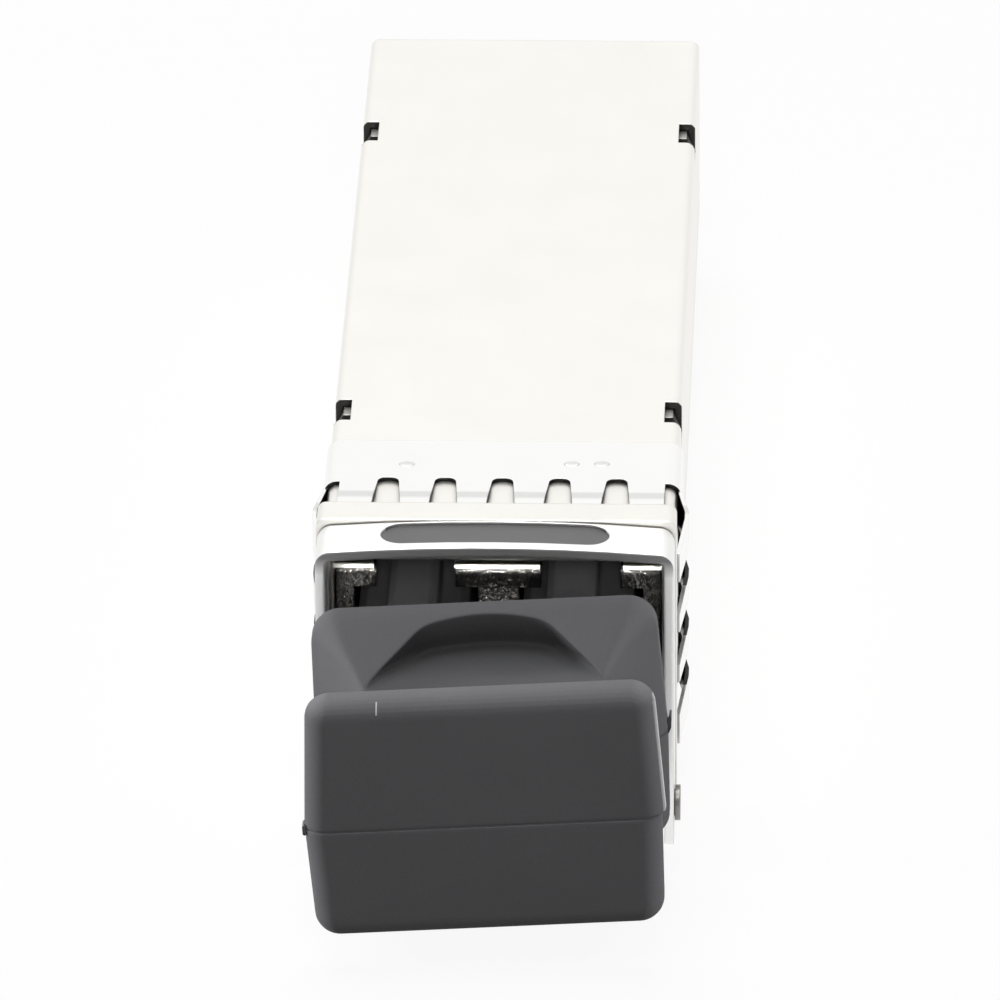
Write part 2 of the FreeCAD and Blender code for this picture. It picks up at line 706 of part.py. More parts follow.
def optical_barrel(x):
    body = turned(x, [
        (BARREL_TIP, FLANGE_Y, BARREL_D),
        (FLANGE_Y, NECK_Y, BARREL_FLANGE_D),
        (NECK_Y, CAN_Y, NECK_D),
    ])
    bore = rod(x, BARREL_TIP - 1, AXIS_Z, FERRULE_D + 2 * SLEEVE_T, SLEEVE_L + 2, V(0, 1, 0))
    return body.cut(bore)


def split_sleeve(x):
    start = BARREL_TIP + 0.3
    tube = rod(x, start, AXIS_Z, FERRULE_D + 2 * SLEEVE_T - 0.02, SLEEVE_L, V(0, 1, 0))
    tube = tube.cut(rod(x, start - 1, AXIS_Z, FERRULE_D, SLEEVE_L + 2, V(0, 1, 0)))
    side = SLEEVE_SLIT / 2
    return tube.cut(box(x - side, x + side, start - 1, start + SLEEVE_L + 1, AXIS_Z, BODY_H))


def optical_can(x, can_d):
    start = CAN_Y + 0.01
    cap = rod(x, start, AXIS_Z, can_d, HEADER_Y - start, V(0, 1, 0))
    header = rod(x, HEADER_Y, AXIS_Z, HEADER_D, HEADER_T, V(0, 1, 0))
    key = box(x - 0.4, x + 0.4, HEADER_Y, OPTICS_END, AXIS_Z, AXIS_Z + HEADER_D / 2 + 0.25)
    return fuse([cap, header, key])


def flex(x):
    """Ribbon from the rear of the can, bent down onto the board."""
    y = OPTICS_END + 0.02
    low = BOARD_TOP + 0.02
    top = AXIS_Z + FLEX_TOP
    corners = [
        (y, top, 0),
        (y, low, FLEX_R + FLEX_T),
        (FLEX_END, low, 0),
        (FLEX_END, low + FLEX_T, 0),
        (y + FLEX_T, low + FLEX_T, FLEX_R),
        (y + FLEX_T, top, 0),
    ]
    return prism_x(corners, x - FLEX_W / 2, x + FLEX_W / 2)


def optics_gasket():
    half = POCKET_HALF - SEAT_GAP
    top = PORT_TOP + TOOTH_H
    sheet = box(-half, half, GASKET_Y, GASKET_Y + GASKET_T, POCKET_LOW + SEAT_GAP, top)
    for x in PORTS:
        sheet = sheet.cut(rod(x, GASKET_Y - GASKET_T, AXIS_Z, BARREL_D + HOLE_GAP, 3 * GASKET_T, V(0, 1, 0)))
    return sheet


def optics_clamp():
    low = POCKET_LOW + SEAT_GAP
    top = BODY_H - COVER_T - CLAMP_TOP_GAP
    saddle = prism_y(cut_corners(CLAMP_W / 2, low, top, CLAMP_CUT), CLAMP_Y, CLAMP_Y + CLAMP_T)
    for x in PORTS:
        grip = NECK_D / 2 + HOLE_GAP
        saddle = saddle.cut(rod(x, CLAMP_Y - CLAMP_T, AXIS_Z, 2 * grip, 3 * CLAMP_T, V(0, 1, 0)))
        saddle = saddle.cut(box(x - grip, x + grip, CLAMP_Y - CLAMP_T, CLAMP_Y + 2 * CLAMP_T, AXIS_Z, BODY_H))
    return saddle


def circuit_board():
    half = BOARD_W / 2
    tongue = TONGUE_W / 2
    outline = [
        (-half, BOARD_FRONT, 0),
        (half, BOARD_FRONT, 0),
        (half, TONGUE_START, 0),
        (tongue, TONGUE_START, 0),
        (tongue, BOARD_END, 0),
        (-tongue, BOARD_END, 0),
        (-tongue, TONGUE_START, 0),
        (-half, TONGUE_START, 0),
    ]
    board = prism_z(outline, BOARD_Z, BOARD_TOP)
    notch = rod(half, POST_Y, BOARD_Z - 1, POST_D + 2 * POST_GAP, BOARD_T + 2, V(0, 0, 1))
    return board.cut(notch).cut(mirror_x(notch))


def contact_row(z):
    pads = []
    end = BOARD_END - CONTACT_INSET
    for i in range(CONTACTS):
        x = (i - (CONTACTS - 1) / 2) * CONTACT_PITCH
        pads.append(box(x - CONTACT_W / 2, x + CONTACT_W / 2, end - CONTACT_L, end, z, z + CONTACT_T))
    return Part.makeCompound(pads)


def chip(x, y, size):
    half = size / 2
    body = [
        (x - half, y - half, 0),
        (x + half - CHIP_CHAMFER, y - half, 0),
        (x + half, y - half + CHIP_CHAMFER, 0),
        (x + half, y + half, 0),
        (x - half, y + half, 0),
    ]
    return prism_z(body, BOARD_TOP, BOARD_TOP + CHIP_H)


def small_capacitors():
    parts = []
    for y in (FIRST_CAPS, SECOND_CAPS, THIRD_CAPS, FOURTH_CAPS):
        for i in range(CAPS_IN_ROW):
            x = (i - (CAPS_IN_ROW - 1) / 2) * CAP_PITCH
            side = CAP_W / 2
            end = CAP_L / 2
            parts.append(box(x - side, x + side, y - end, y + end, BOARD_TOP, BOARD_TOP + CAP_H))
    return Part.makeCompound(parts)


def ferrite_inductors():
    parts = []
    for x in (-INDUCTOR_X, INDUCTOR_X):
        for step in (-1, 1):
            y = CONTROLLER_Y + step * INDUCTOR_L / 2
            side = INDUCTOR_W / 2
            end = INDUCTOR_L / 2 - INDUCTOR_GAP / 2
            parts.append(box(x - side, x + side, y - end, y + end, BOARD_TOP, BOARD_TOP + INDUCTOR_H))
    return Part.makeCompound(parts)


def thermal_pad():
    return box(-PAD_W / 2, PAD_W / 2, CHIP_ROW - PAD_L / 2, CHIP_ROW + PAD_L / 2, FLOOR_T, BOARD_Z)


def plug_section(half, draft, up, down, radius):
    """Drafted outline about the parting plane: widest there, narrower at the top and the bottom."""
    return [
        (-half, AXIS_Z, 0),
        (-half + draft, AXIS_Z - down, radius),
        (half - draft, AXIS_Z - down, radius),
        (half, AXIS_Z, 0),
        (half - draft, AXIS_Z + up, radius),
        (-half + draft, AXIS_Z + up, radius),
    ]


def edges_at(solid, y):
    return [e for e in solid.Edges if abs(e.BoundBox.YMin - y) < 1e-6 and abs(e.BoundBox.YMax - y) < 1e-6]


def plug_prong(x):
    tip = PORT_END - PRONG_BACK
    root = -PLUG_BACK - PLUG_RIM_T / 2
    low = AXIS_Z - PRONG_H / 2
    shank = prism_y(cut_corners(PRONG_W / 2, low, low + PRONG_H, PRONG_CUT), root, tip)
    shank.translate(V(x, 0, 0))
    rib_x = math.copysign(RIB_PITCH / 2, x)
    rib_outline = [
        (rib_x - RIB_W / 2, AXIS_Z, 0),
        (rib_x + RIB_W / 2, AXIS_Z, 0),
        (rib_x + RIB_W / 2, RIB_TOP - RIB_CUT, 0),
        (rib_x + RIB_W / 2 - RIB_CUT, RIB_TOP, 0),
        (rib_x - RIB_W / 2 + RIB_CUT, RIB_TOP, 0),
        (rib_x - RIB_W / 2, RIB_TOP - RIB_CUT, 0),
    ]
    rib = prism_y(rib_outline, root, tip)
    bore = rod(x, BARREL_TIP - PRONG_BORE_ROOM, AXIS_Z, BARREL_D + 2 * PRONG_BORE_GAP, tip, V(0, 1, 0))
    return fuse([shank, rib]).cut(bore)


def flash_nub(x, y):
    """Remains of a moulding gate on the parting plane."""
    half = FLASH_H / 2
    nub = prism_y(cut_corners(half, AXIS_Z - half, AXIS_Z + half, half / 2), y, y + FLASH_L)
    return nub.translated(V(x, 0, 0))


def dust_plug():
    rim_front = PLUG_BACK + PLUG_RIM_T
    plate_back = PLUG_FRONT - PLUG_PLATE_T
    rim = prism_y(plug_section(PLUG_RIM_W / 2, PLUG_DRAFT, PLUG_RIM_UP, PLUG_RIM_DOWN, PLUG_RIM_R),
                  -rim_front, -PLUG_BACK)
    rim = rim.makeChamfer(PLUG_RIM_BEVEL, edges_at(rim, -PLUG_BACK) + edges_at(rim, -rim_front))
    length = plate_back - rim_front
    drop = length * math.tan(math.radians(PLUG_NECK_SLOPE))
    up = PLUG_RIM_UP - PLUG_RIM_BEVEL
    down = PLUG_RIM_DOWN - PLUG_RIM_BEVEL
    sections = []
    for share in (0, 0.5, 1):
        sag = PLUG_NECK_SAG * 4 * share * (1 - share)
        half = (PLUG_NECK_BACK_W + share * (PLUG_NECK_FRONT_W - PLUG_NECK_BACK_W)) / 2 - sag
        y = -rim_front - share * length
        fall = share * drop
        outline = cut_corners(half, AXIS_Z - down + fall, AXIS_Z + up - fall, PLUG_NECK_CUT)
        sections.append(rounded(outline, lambda p, y=y: V(p.x, y, p.y)))
    neck = Part.makeLoft(sections, True, True)
    handle = fuse([rim, neck])
    scoop_y = -rim_front + PLUG_RIM_BEVEL - SCOOP_SETBACK - SCOOP_R
    floor_up = AXIS_Z + up - SCOOP_DEPTH
    floor_down = AXIS_Z - down + SCOOP_DEPTH
    handle = handle.cut(rod(0, scoop_y, floor_up, 2 * SCOOP_R, BODY_H, V(0, 0, 1)))
    handle = handle.cut(rod(0, scoop_y, floor_down, 2 * SCOOP_R, BODY_H, V(0, 0, -1)))
    plate = prism_y(plug_section(PLUG_PLATE_W / 2, PLUG_DRAFT, PLUG_PLATE_UP, PLUG_PLATE_DOWN, PLUG_PLATE_R),
                    -PLUG_FRONT, -plate_back)
    plate = plate.makeFillet(PLUG_EDGE_R, edges_at(plate, -PLUG_FRONT))
    seam = box(-PLUG_PLATE_W, PLUG_PLATE_W, -PLUG_FRONT - 1, -PLUG_FRONT + PARTING_DEPTH,
               AXIS_Z - PARTING_W, AXIS_Z)
    plate = plate.cut(seam)
    plate_mid = -(PLUG_FRONT + plate_back) / 2 - FLASH_L / 2
    rim_mid = -(PLUG_BACK + rim_front) / 2 - FLASH_L / 2
    flash_left = flash_nub(-PLUG_PLATE_W / 2, plate_mid)
    flash_right = flash_nub(PLUG_RIM_W / 2, rim_mid)
    prongs = [plug_prong(x) for x in PORTS]
    plug = fuse([handle, plate, flash_left, flash_right] + prongs)
    plug.rotate(V(0, 0, AXIS_Z), V(0, 1, 0), -PLUG_ROLL)
    return plug


nodes = {
    "base_housing": base_housing(),
    "top_cover": top_cover(),
    "emi_collar": emi_collar(),
    "lc_receptacle": receptacle(),
    "bail": bail(),
    "bail_inlay": bail_inlay(),
    "bail_cam_pin": bail_cam_pin(),
    "latch_lever": latch_lever(),
    "latch_pivot_pin": latch_pivot_pin(),
    "latch_spring": latch_spring(),
    "circuit_board": circuit_board(),
    "edge_contacts_upper": contact_row(BOARD_TOP),
    "edge_contacts_lower": contact_row(BOARD_Z - CONTACT_T),
    "tosa_barrel": optical_barrel(PORTS[0]),
    "rosa_barrel": optical_barrel(PORTS[1]),
    "tosa_can": optical_can(PORTS[0], CAN_D),
    "rosa_can": optical_can(PORTS[1], CAN_D),
    "split_sleeves": Part.makeCompound([split_sleeve(x) for x in PORTS]),
    "tosa_flex": flex(PORTS[0]),
    "rosa_flex": flex(PORTS[1]),
    "optics_gasket": optics_gasket(),
    "optics_clamp": optics_clamp(),
    "laser_driver": chip(-CHIP_X, CHIP_ROW, DRIVER_SIZE),
    "receive_amplifier": chip(CHIP_X, CHIP_ROW, AMPLIFIER_SIZE),
    "controller_chip": chip(0, CONTROLLER_Y, CONTROLLER_SIZE),
    "small_capacitors": small_capacitors(),
    "ferrite_inductors": ferrite_inductors(),
    "thermal_pad": thermal_pad(),
    "dust_plug": dust_plug(),
}

os.makedirs("parts", exist_ok=True)
for name, shape in nodes.items():
    shape.translate(SHIFT)
    shape.exportStep("parts/" + name + ".step")
    print(name, len(shape.Solids), "solids", round(shape.Volume, 2), "mm3", shape.isValid())
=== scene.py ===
# %% [markdown]
# A pluggable optical transceiver with its dust plug, dressed for a studio photograph.
# The solid model comes in as a fixed frame: each sheet, casting and moulding is already in its place and
# true to size, so this script gives the surfaces their finish, adds small parts and sets up the studio.

# %% Load the frame
import bmesh
import bpy
import json
import math
from mathutils import Matrix, Vector


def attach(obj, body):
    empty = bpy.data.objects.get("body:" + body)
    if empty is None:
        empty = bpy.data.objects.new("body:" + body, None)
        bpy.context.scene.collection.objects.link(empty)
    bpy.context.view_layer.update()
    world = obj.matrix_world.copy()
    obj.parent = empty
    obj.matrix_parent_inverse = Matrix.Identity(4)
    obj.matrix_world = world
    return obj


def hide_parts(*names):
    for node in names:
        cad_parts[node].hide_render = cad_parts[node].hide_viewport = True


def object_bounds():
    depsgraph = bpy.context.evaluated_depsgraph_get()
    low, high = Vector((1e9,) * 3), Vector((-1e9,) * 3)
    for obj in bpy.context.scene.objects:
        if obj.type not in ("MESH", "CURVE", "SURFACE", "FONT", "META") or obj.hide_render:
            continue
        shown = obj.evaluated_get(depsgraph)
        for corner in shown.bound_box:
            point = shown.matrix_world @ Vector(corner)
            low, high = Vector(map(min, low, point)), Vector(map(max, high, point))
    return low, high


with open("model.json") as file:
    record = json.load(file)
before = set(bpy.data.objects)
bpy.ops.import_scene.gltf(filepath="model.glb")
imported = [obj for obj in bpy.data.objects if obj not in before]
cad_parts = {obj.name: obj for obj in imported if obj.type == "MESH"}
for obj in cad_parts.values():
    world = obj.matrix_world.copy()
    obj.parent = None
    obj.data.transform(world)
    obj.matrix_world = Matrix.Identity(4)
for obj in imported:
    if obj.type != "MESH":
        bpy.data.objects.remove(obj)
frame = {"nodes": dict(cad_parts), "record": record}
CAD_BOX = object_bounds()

MM = 0.001
nodes = frame["nodes"]


# %% [markdown]
# Colours are easiest to read as the hex values of a paint chart, but a renderer adds light linearly.
# One function turns a hex value into linear light, and one small function adds a node with its settings and
# links, so that each finish below reads as a short recipe.

# %% Colour and node helpers
def linear(hex_value):
    """Linear light of an sRGB hex value, with full alpha."""
    channels = [int(hex_value[i:i + 2], 16) / 255 for i in (1, 3, 5)]
    return tuple(c / 12.92 if c <= 0.04045 else ((c + 0.055) / 1.055) ** 2.4 for c in channels) + (1.0,)


def add(tree, kind, inputs=(), **settings):
    """Adds a node and fills its sockets, by name or in order. A node as value stands for its first output."""
    node = tree.nodes.new(kind)
    for name, value in settings.items():
        setattr(node, name, value)
    pairs = inputs.items() if isinstance(inputs, dict) else enumerate(inputs)
    for socket, value in pairs:
        if isinstance(value, bpy.types.Node):
            value = value.outputs[0]
        if isinstance(value, bpy.types.NodeSocket):
            tree.links.new(value, node.inputs[socket])
        else:
            node.inputs[socket].default_value = value
    return node


def new_finish(name):
    """A material with its tree, its shader and the place of each point in millimetres."""
    material = bpy.data.materials.new(name)
    material.use_nodes = True
    tree = material.node_tree
    place = add(tree, "ShaderNodeTexCoord").outputs["Object"]
    millimetres = add(tree, "ShaderNodeVectorMath", [place, (1 / MM,) * 3], operation="MULTIPLY")
    return material, tree, tree.nodes["Principled BSDF"], millimetres.outputs[0]


WHITE = linear("#FFFFFF")
print("white in linear light:", WHITE)


# %% [markdown]
# Painted shade, painted light, raw edges and a nick sit in certain places of a piece. A texture could be
# painted for each, but these pieces are plain enough to find such a place by a few tests: where a point is
# and which way its face looks. A mask is 1 where every one of its tests holds. Painted shade in gaps is
# found another way, by an ambient occlusion node that looks around each point for a short distance.

# %% Masks
BELOW, ABOVE, NEAR = "LESS_THAN", "GREATER_THAN", "COMPARE"
# A face looks to the front, up or to the side where that part of its direction is larger than these.
TO_FRONT, TO_TOP, TO_SIDE = 0.6, 0.5, 0.85


def whereabouts(tree, place):
    """A point's place (x, y, z), its face's direction (nx, ny, nz) and both without sign (|x|, |nx|)."""
    facing = add(tree, "ShaderNodeNewGeometry").outputs["True Normal"]
    found = {}
    for mark, vector in (("", place), ("n", facing)):
        unsigned = add(tree, "ShaderNodeVectorMath", [vector], operation="ABSOLUTE")
        for label, source in ((mark + "%s", vector), ("|" + mark + "%s|", unsigned)):
            parts = add(tree, "ShaderNodeSeparateXYZ", [source]).outputs
            found.update({label % axis: parts[axis.upper()] for axis in "xyz"})
    return found


def where(tree, *tests):
    """1 where every test holds. A test is a value, a comparison and what the value is compared with."""
    held = None
    for value, comparison, *limits in tests:
        test = add(tree, "ShaderNodeMath", [value, *limits], operation=comparison)
        held = test if held is None else add(tree, "ShaderNodeMath", [held, test], operation="MULTIPLY")
    return held


def either(tree, *masks):
    """The largest of the masks, which is 1 where any of them is."""
    largest = masks[0]
    for mask in masks[1:]:
        largest = add(tree, "ShaderNodeMath", [largest, mask], operation="MAXIMUM")
    return largest


def painted_gap_shade(tree, reach_mm, dark, in_the_open=0.85, in_the_gap=0.35):
    """Painted shade: the share of the brightness that is left, dark in a gap and 1 in the open."""
    gap = add(tree, "ShaderNodeAmbientOcclusion", {"Distance": reach_mm * MM}, samples=8)
    return add(tree, "ShaderNodeMapRange", {"Value": gap.outputs["AO"], "From Min": in_the_gap,
                                            "From Max": in_the_open, "To Min": dark, "To Max": 1.0})


print("tests for masks:", BELOW, ABOVE, NEAR)

# %% [markdown]
# The collar is punched from thin spring sheet. Its punched edges are rougher than the sheet, and their colour
# is painted nearly black, painted shade of the slots beside each finger, and that dark line is what draws
# each finger. A band across the crests of the fingers is painted a little greyer, painted shade of the
# crests.
# The edges are found by the way they face: across the sheet, along a finger, or beside a finger on the two
# upright sides.

# %% Painted shade on the collar's edges and crests
# Along a finger: its crest, how far it reaches to each side of that, and how much of it gets a grey band of
# painted shade.
CREST_Y, FINGER_REACH = -12.28, 1.5
CREST_SHADE_NEAR, CREST_SHADE_FAR = 0.2, 0.5
# On the upright sides, the edges in front of this stay bright.
FOOT_Y = -13.0
# Across them: half of the flat top, half of the top with its bends, and where the upright sides are.
FLAT_HALF, TOP_HALF, SIDE_FROM, SIDE_TOP = 6.3, 6.6, 6.7, 9.9
# What is left of the brightness where painted shade darkens the edges and the crests.
SLOT_SHADE, CREST_SHADE = 0.06, 0.78


def painted_collar_shade(tree, place):
    """The collar: painted shade on the edges across, along and beside its fingers, and a grey band of painted
    shade on the crests.
    """
    point = whereabouts(tree, place)
    raw_and_shaded = either(
        tree,
        where(tree, (point["|x|"], BELOW, TOP_HALF), (point["|ny|"], ABOVE, TO_FRONT)),
        where(tree, (point["y"], ABOVE, FOOT_Y), (point["|ny|"], ABOVE, TO_FRONT)),
        where(tree, (point["|x|"], BELOW, FLAT_HALF), (point["|nz|"], BELOW, TO_TOP)),
        where(tree, (point["|x|"], ABOVE, SIDE_FROM), (point["|nz|"], ABOVE, TO_TOP),
              (point["z"], BELOW, SIDE_TOP), (point["y"], NEAR, CREST_Y, FINGER_REACH)))
    raw = add(tree, "ShaderNodeMapRange", {"Value": raw_and_shaded, "To Min": 1.0, "To Max": SLOT_SHADE})
    along = add(tree, "ShaderNodeMath", [point["y"], CREST_Y], operation="SUBTRACT")
    from_crest = add(tree, "ShaderNodeMath", [along], operation="ABSOLUTE")
    grey_crests = add(tree, "ShaderNodeMapRange",
                 {"Value": from_crest, "From Min": CREST_SHADE_NEAR, "From Max": CREST_SHADE_FAR,
                  "To Min": CREST_SHADE, "To Max": 1.0}, interpolation_type="SMOOTHSTEP")
    return add(tree, "ShaderNodeMath", [raw, grey_crests], operation="MULTIPLY")


print("collar: raw edges keep", SLOT_SHADE, "of the brightness")

# %% [markdown]
# Three more places differ from the sheet or casting around them. The front edge of the bail's top strip is
# rougher and painted darker, painted shade of what that edge mirrors, while its arms stay bright. The walls
# inside the four clip windows are painted black and their floors grey, painted shade of the deep pockets. The
# receptacle's teeth are smooth, but the stems below them keep the pits of the casting, which sparkle. The
# same few tests find them, so no texture has to be painted.

# %% Painted shade on the bail and in the clip windows, and pits of the receptacle
ARM_TOP, STRIP_LOW = 11.3, 12.0
# Painted shade: the share of the brightness left on the strip's front edge.
STRIP_EDGE_SHADE = 0.26
CLIP_ROWS = (-4.175, 21.925)
CLIP_HALF_LENGTH = 1.0
CLIP_X, CLIP_Z = (5.6, 6.68), (8.6, 10.46)
# Painted shade: what is left of the brightness on the walls and on the floor of a clip window.
POCKET_WALL_SHADE, POCKET_FLOOR_SHADE = 0.07, 0.6
STEM_TOP = 8.55
STEM_PITS, TOOTH_PITS = 1.0, 0.35


def painted_strip_shade(tree, place):
    """The bail: painted shade on the front edge of its top strip, which is also rougher."""
    point = whereabouts(tree, place)
    forward = where(tree, (point["ny"], BELOW, -TO_FRONT))
    on_top = add(tree, "ShaderNodeMapRange", {"Value": point["z"], "From Min": ARM_TOP,
                                              "From Max": STRIP_LOW})
    edge = add(tree, "ShaderNodeMath", [forward, on_top], operation="MULTIPLY")
    return add(tree, "ShaderNodeMapRange", {"Value": edge, "To Min": 1.0, "To Max": STRIP_EDGE_SHADE})


def painted_pocket_shade(tree, place):
    """Housing and cover: painted shade inside the clip windows, black on the walls and grey on the floor."""
    point = whereabouts(tree, place)
    pockets = [where(tree, (point["|x|"], ABOVE, CLIP_X[0]), (point["|x|"], BELOW, CLIP_X[1]),
                     (point["z"], ABOVE, CLIP_Z[0]), (point["z"], BELOW, CLIP_Z[1]),
                     (point["y"], NEAR, row, CLIP_HALF_LENGTH)) for row in CLIP_ROWS]
    outside = add(tree, "ShaderNodeMath", [1.0, either(tree, *pockets)], operation="SUBTRACT")
    floor_here = where(tree, (point["nz"], ABOVE, TO_TOP))
    pocket_shade = add(tree, "ShaderNodeMapRange", {"Value": floor_here, "To Min": POCKET_WALL_SHADE, "To Max": POCKET_FLOOR_SHADE})
    return either(tree, pocket_shade, outside)


def cast_stems(tree, place):
    """The receptacle: strength of its pits, deep on the stems and shallow on the teeth."""
    on_stem = where(tree, (whereabouts(tree, place)["z"], BELOW, STEM_TOP))
    return add(tree, "ShaderNodeMapRange", {"Value": on_stem, "To Min": TOOTH_PITS, "To Max": STEM_PITS})


print("clip windows:", 2 * len(CLIP_ROWS))


# %% [markdown]
# Most of the metal here is sheet or casting with a thin nickel plate. Plate gives the eye a warm white
# mirror that is blurred a little by the grain below it: rolled sheet has fine lines along the rolling
# direction, and a casting has a soft orange peel. Each real edge is broken by tumbling, so a bevel in the
# shader rounds the edges' normals by the real edge radius. One recipe makes all of the metals. Real rolling
# lines and turning marks are about 0.02 mm wide, so they are drawn a few times coarser, or they'd not show.

# %% The metal recipe
ALONG_X, ALONG_Y = 0, 1
LINE_STRETCH = 30
CLOUD_MM = 2.86
ROUGH_VARY = 0.03
DULL_ROUGH = 0.25
TINT_LOW = 0.993
GRAIN_STRENGTH = 0.5
# A noise node gives 0 to 1, but nearly all of it is between these two.
NOISE_LOW, NOISE_HIGH = 0.3, 0.7


def metal(name, hex_value, roughness, grain_mm, lines_along=None, depth_mm=0.002, edge_mm=0.06, gap_mm=0.3,
          gap_dark=0.3, dull=None, pits=None):
    """A metal with a grain, faint clouds, soft edges and painted shade in its gaps; dull paints shade into
    the colour of some places and roughens them, pits finds where pits are deeper.
    """
    material, tree, shader, place = new_finish(name)
    stretch = [1 / grain_mm] * 3
    if lines_along is not None:
        stretch[lines_along] /= LINE_STRETCH
    grain_place = add(tree, "ShaderNodeVectorMath", [place, stretch], operation="MULTIPLY")
    grain = add(tree, "ShaderNodeTexNoise", {"Vector": grain_place, "Scale": 1.0, "Detail": 3.0})
    cloud = add(tree, "ShaderNodeTexNoise", {"Vector": place, "Scale": 1 / CLOUD_MM, "Detail": 2.0})
    mixed = add(tree, "ShaderNodeMath", [grain, cloud], operation="ADD")
    rough = add(tree, "ShaderNodeMapRange",
                {"Value": mixed, "From Min": 2 * NOISE_LOW, "From Max": 2 * NOISE_HIGH,
                 "To Min": roughness - ROUGH_VARY, "To Max": roughness + ROUGH_VARY})
    tint = add(tree, "ShaderNodeMapRange", {"Value": cloud, "From Min": NOISE_LOW, "From Max": NOISE_HIGH,
                                            "To Min": TINT_LOW, "To Max": 1.0})
    # Painted shade: the colour is darkened in narrow gaps.
    shade = add(tree, "ShaderNodeMath", [tint, painted_gap_shade(tree, gap_mm, gap_dark)], operation="MULTIPLY")
    # Painted shade: the places that dull finds are darkened in the colour and made rougher.
    if dull is not None:
        bright = dull(tree, place)
        shade = add(tree, "ShaderNodeMath", [shade, bright], operation="MULTIPLY")
        rougher = add(tree, "ShaderNodeMapRange", {"Value": bright, "To Min": DULL_ROUGH, "To Max": 0.0})
        rough = add(tree, "ShaderNodeMath", [rough, rougher], operation="ADD")
    colour = add(tree, "ShaderNodeVectorMath", [linear(hex_value)[:3], shade], operation="MULTIPLY")
    edge = add(tree, "ShaderNodeBevel", {"Radius": edge_mm * MM}, samples=6)
    strength = GRAIN_STRENGTH if pits is None else pits(tree, place)
    bump = add(tree, "ShaderNodeBump", {"Strength": strength, "Distance": depth_mm * MM, "Height": grain,
                                        "Normal": edge})
    for socket, node in (("Base Color", colour), ("Roughness", rough), ("Normal", bump)):
        tree.links.new(node.outputs[0], shader.inputs[socket])
    shader.inputs["Metallic"].default_value = 1.0
    return material


print("metal recipe: lines are", LINE_STRETCH, "times longer than wide")

# %% Metal finishes
finishes = {
    # warm white with a satin sheen that is drawn out along the rolled sheet, with painted shade in the clip
    # windows and gaps
    "cover_nickel": metal("satin_nickel_plate_on_rolled_sheet", "#F6F4EF", roughness=0.34, grain_mm=0.12,
                          lines_along=ALONG_Y, dull=painted_pocket_shade),
    # the same warm white, softer, with the orange peel of a casting, with painted shade in the clip windows
    # and gaps
    "plated_zinc": metal("satin_nickel_plate_on_zinc_casting", "#F3F1EB", roughness=0.36, grain_mm=0.30,
                         depth_mm=0.005, edge_mm=0.10, gap_mm=0.4, gap_dark=0.7, dull=painted_pocket_shade),
    # a grey mirror with small sparkling pits; its colour is a darker, shaded copy of the nickel, and painted
    # shade darkens it further inside the port
    "bright_nickel": metal("bright_nickel_plate_on_zinc_casting", "#B8B6B1", roughness=0.13, grain_mm=0.22,
                           depth_mm=0.14, edge_mm=0.10, gap_mm=1.5, gap_dark=0.12, pits=cast_stems),
    # cold white and smooth, with black outlines round the fingers: painted shade on the edges and in the gaps
    "collar_stainless": metal("rolled_spring_stainless", "#FAFAF8", roughness=0.24, grain_mm=0.10,
                              lines_along=ALONG_X, depth_mm=0.001, edge_mm=0.03, gap_mm=0.5, gap_dark=0.03,
                              dull=painted_collar_shade),
    # plain white sheet with a wide soft gleam and rounded edges, with painted shade on the front edge of its
    # top strip
    "bail_stainless": metal("rolled_stainless_strip", "#F5F5F4", roughness=0.50, grain_mm=0.10,
                            lines_along=ALONG_X, depth_mm=0.001, edge_mm=0.14, gap_mm=0.2, gap_dark=1.0,
                            dull=painted_strip_shade),
    # mid grey with fine streaks of light along the pin
    "pin_steel": metal("turned_steel", "#8F8D89", roughness=0.30, grain_mm=0.08, lines_along=ALONG_X),
    # light grey with blurred, cloudy reflections
    "lever_steel": metal("tumbled_steel_stamping", "#C4C2BE", roughness=0.38, grain_mm=0.25, depth_mm=0.004),
    # grey with a cold cast and a narrow gleam
    "spring_steel": metal("blue_tempered_spring_strip", "#9A9A9E", roughness=0.28, grain_mm=0.10,
                          lines_along=ALONG_Y),
    # light grey, clear reflections
    "barrel_steel": metal("turned_stainless_bar", "#D6D5D2", roughness=0.22, grain_mm=0.06, depth_mm=0.003),
    # warm yellow with a smooth, clear gleam
    "contact_gold": metal("gold_flash_over_nickel", "#F0C868", roughness=0.22, grain_mm=0.20,
                          lines_along=ALONG_Y),
    # the same yellow, a little softer on the drawn can
    "can_gold": metal("gold_flash_on_can", "#EBC46C", roughness=0.25, grain_mm=0.25),
}
print("metal finishes:", len(finishes))


# %% [markdown]
# The rest is moulded, fired or printed. Rubber from a spark-eroded mould is matt with a fine even grit;
# solder mask is a clear green varnish over copper; epoxy, ceramic and ferrite are dull and finely speckled.
# They share one recipe: a speckle for the colour, a grit for the bump and faint patches in the gloss.
# Real grit and fillers are a few hundredths of a millimetre, so they too are drawn coarser than they are.

# %% The moulded recipe
PATCH_MM = 3.33
SKIN_VARY = 0.06
GRIT_STRENGTH = 0.7
POLISHED_ROUGH, POLISHED_GLOSS = 0.2, 1.0


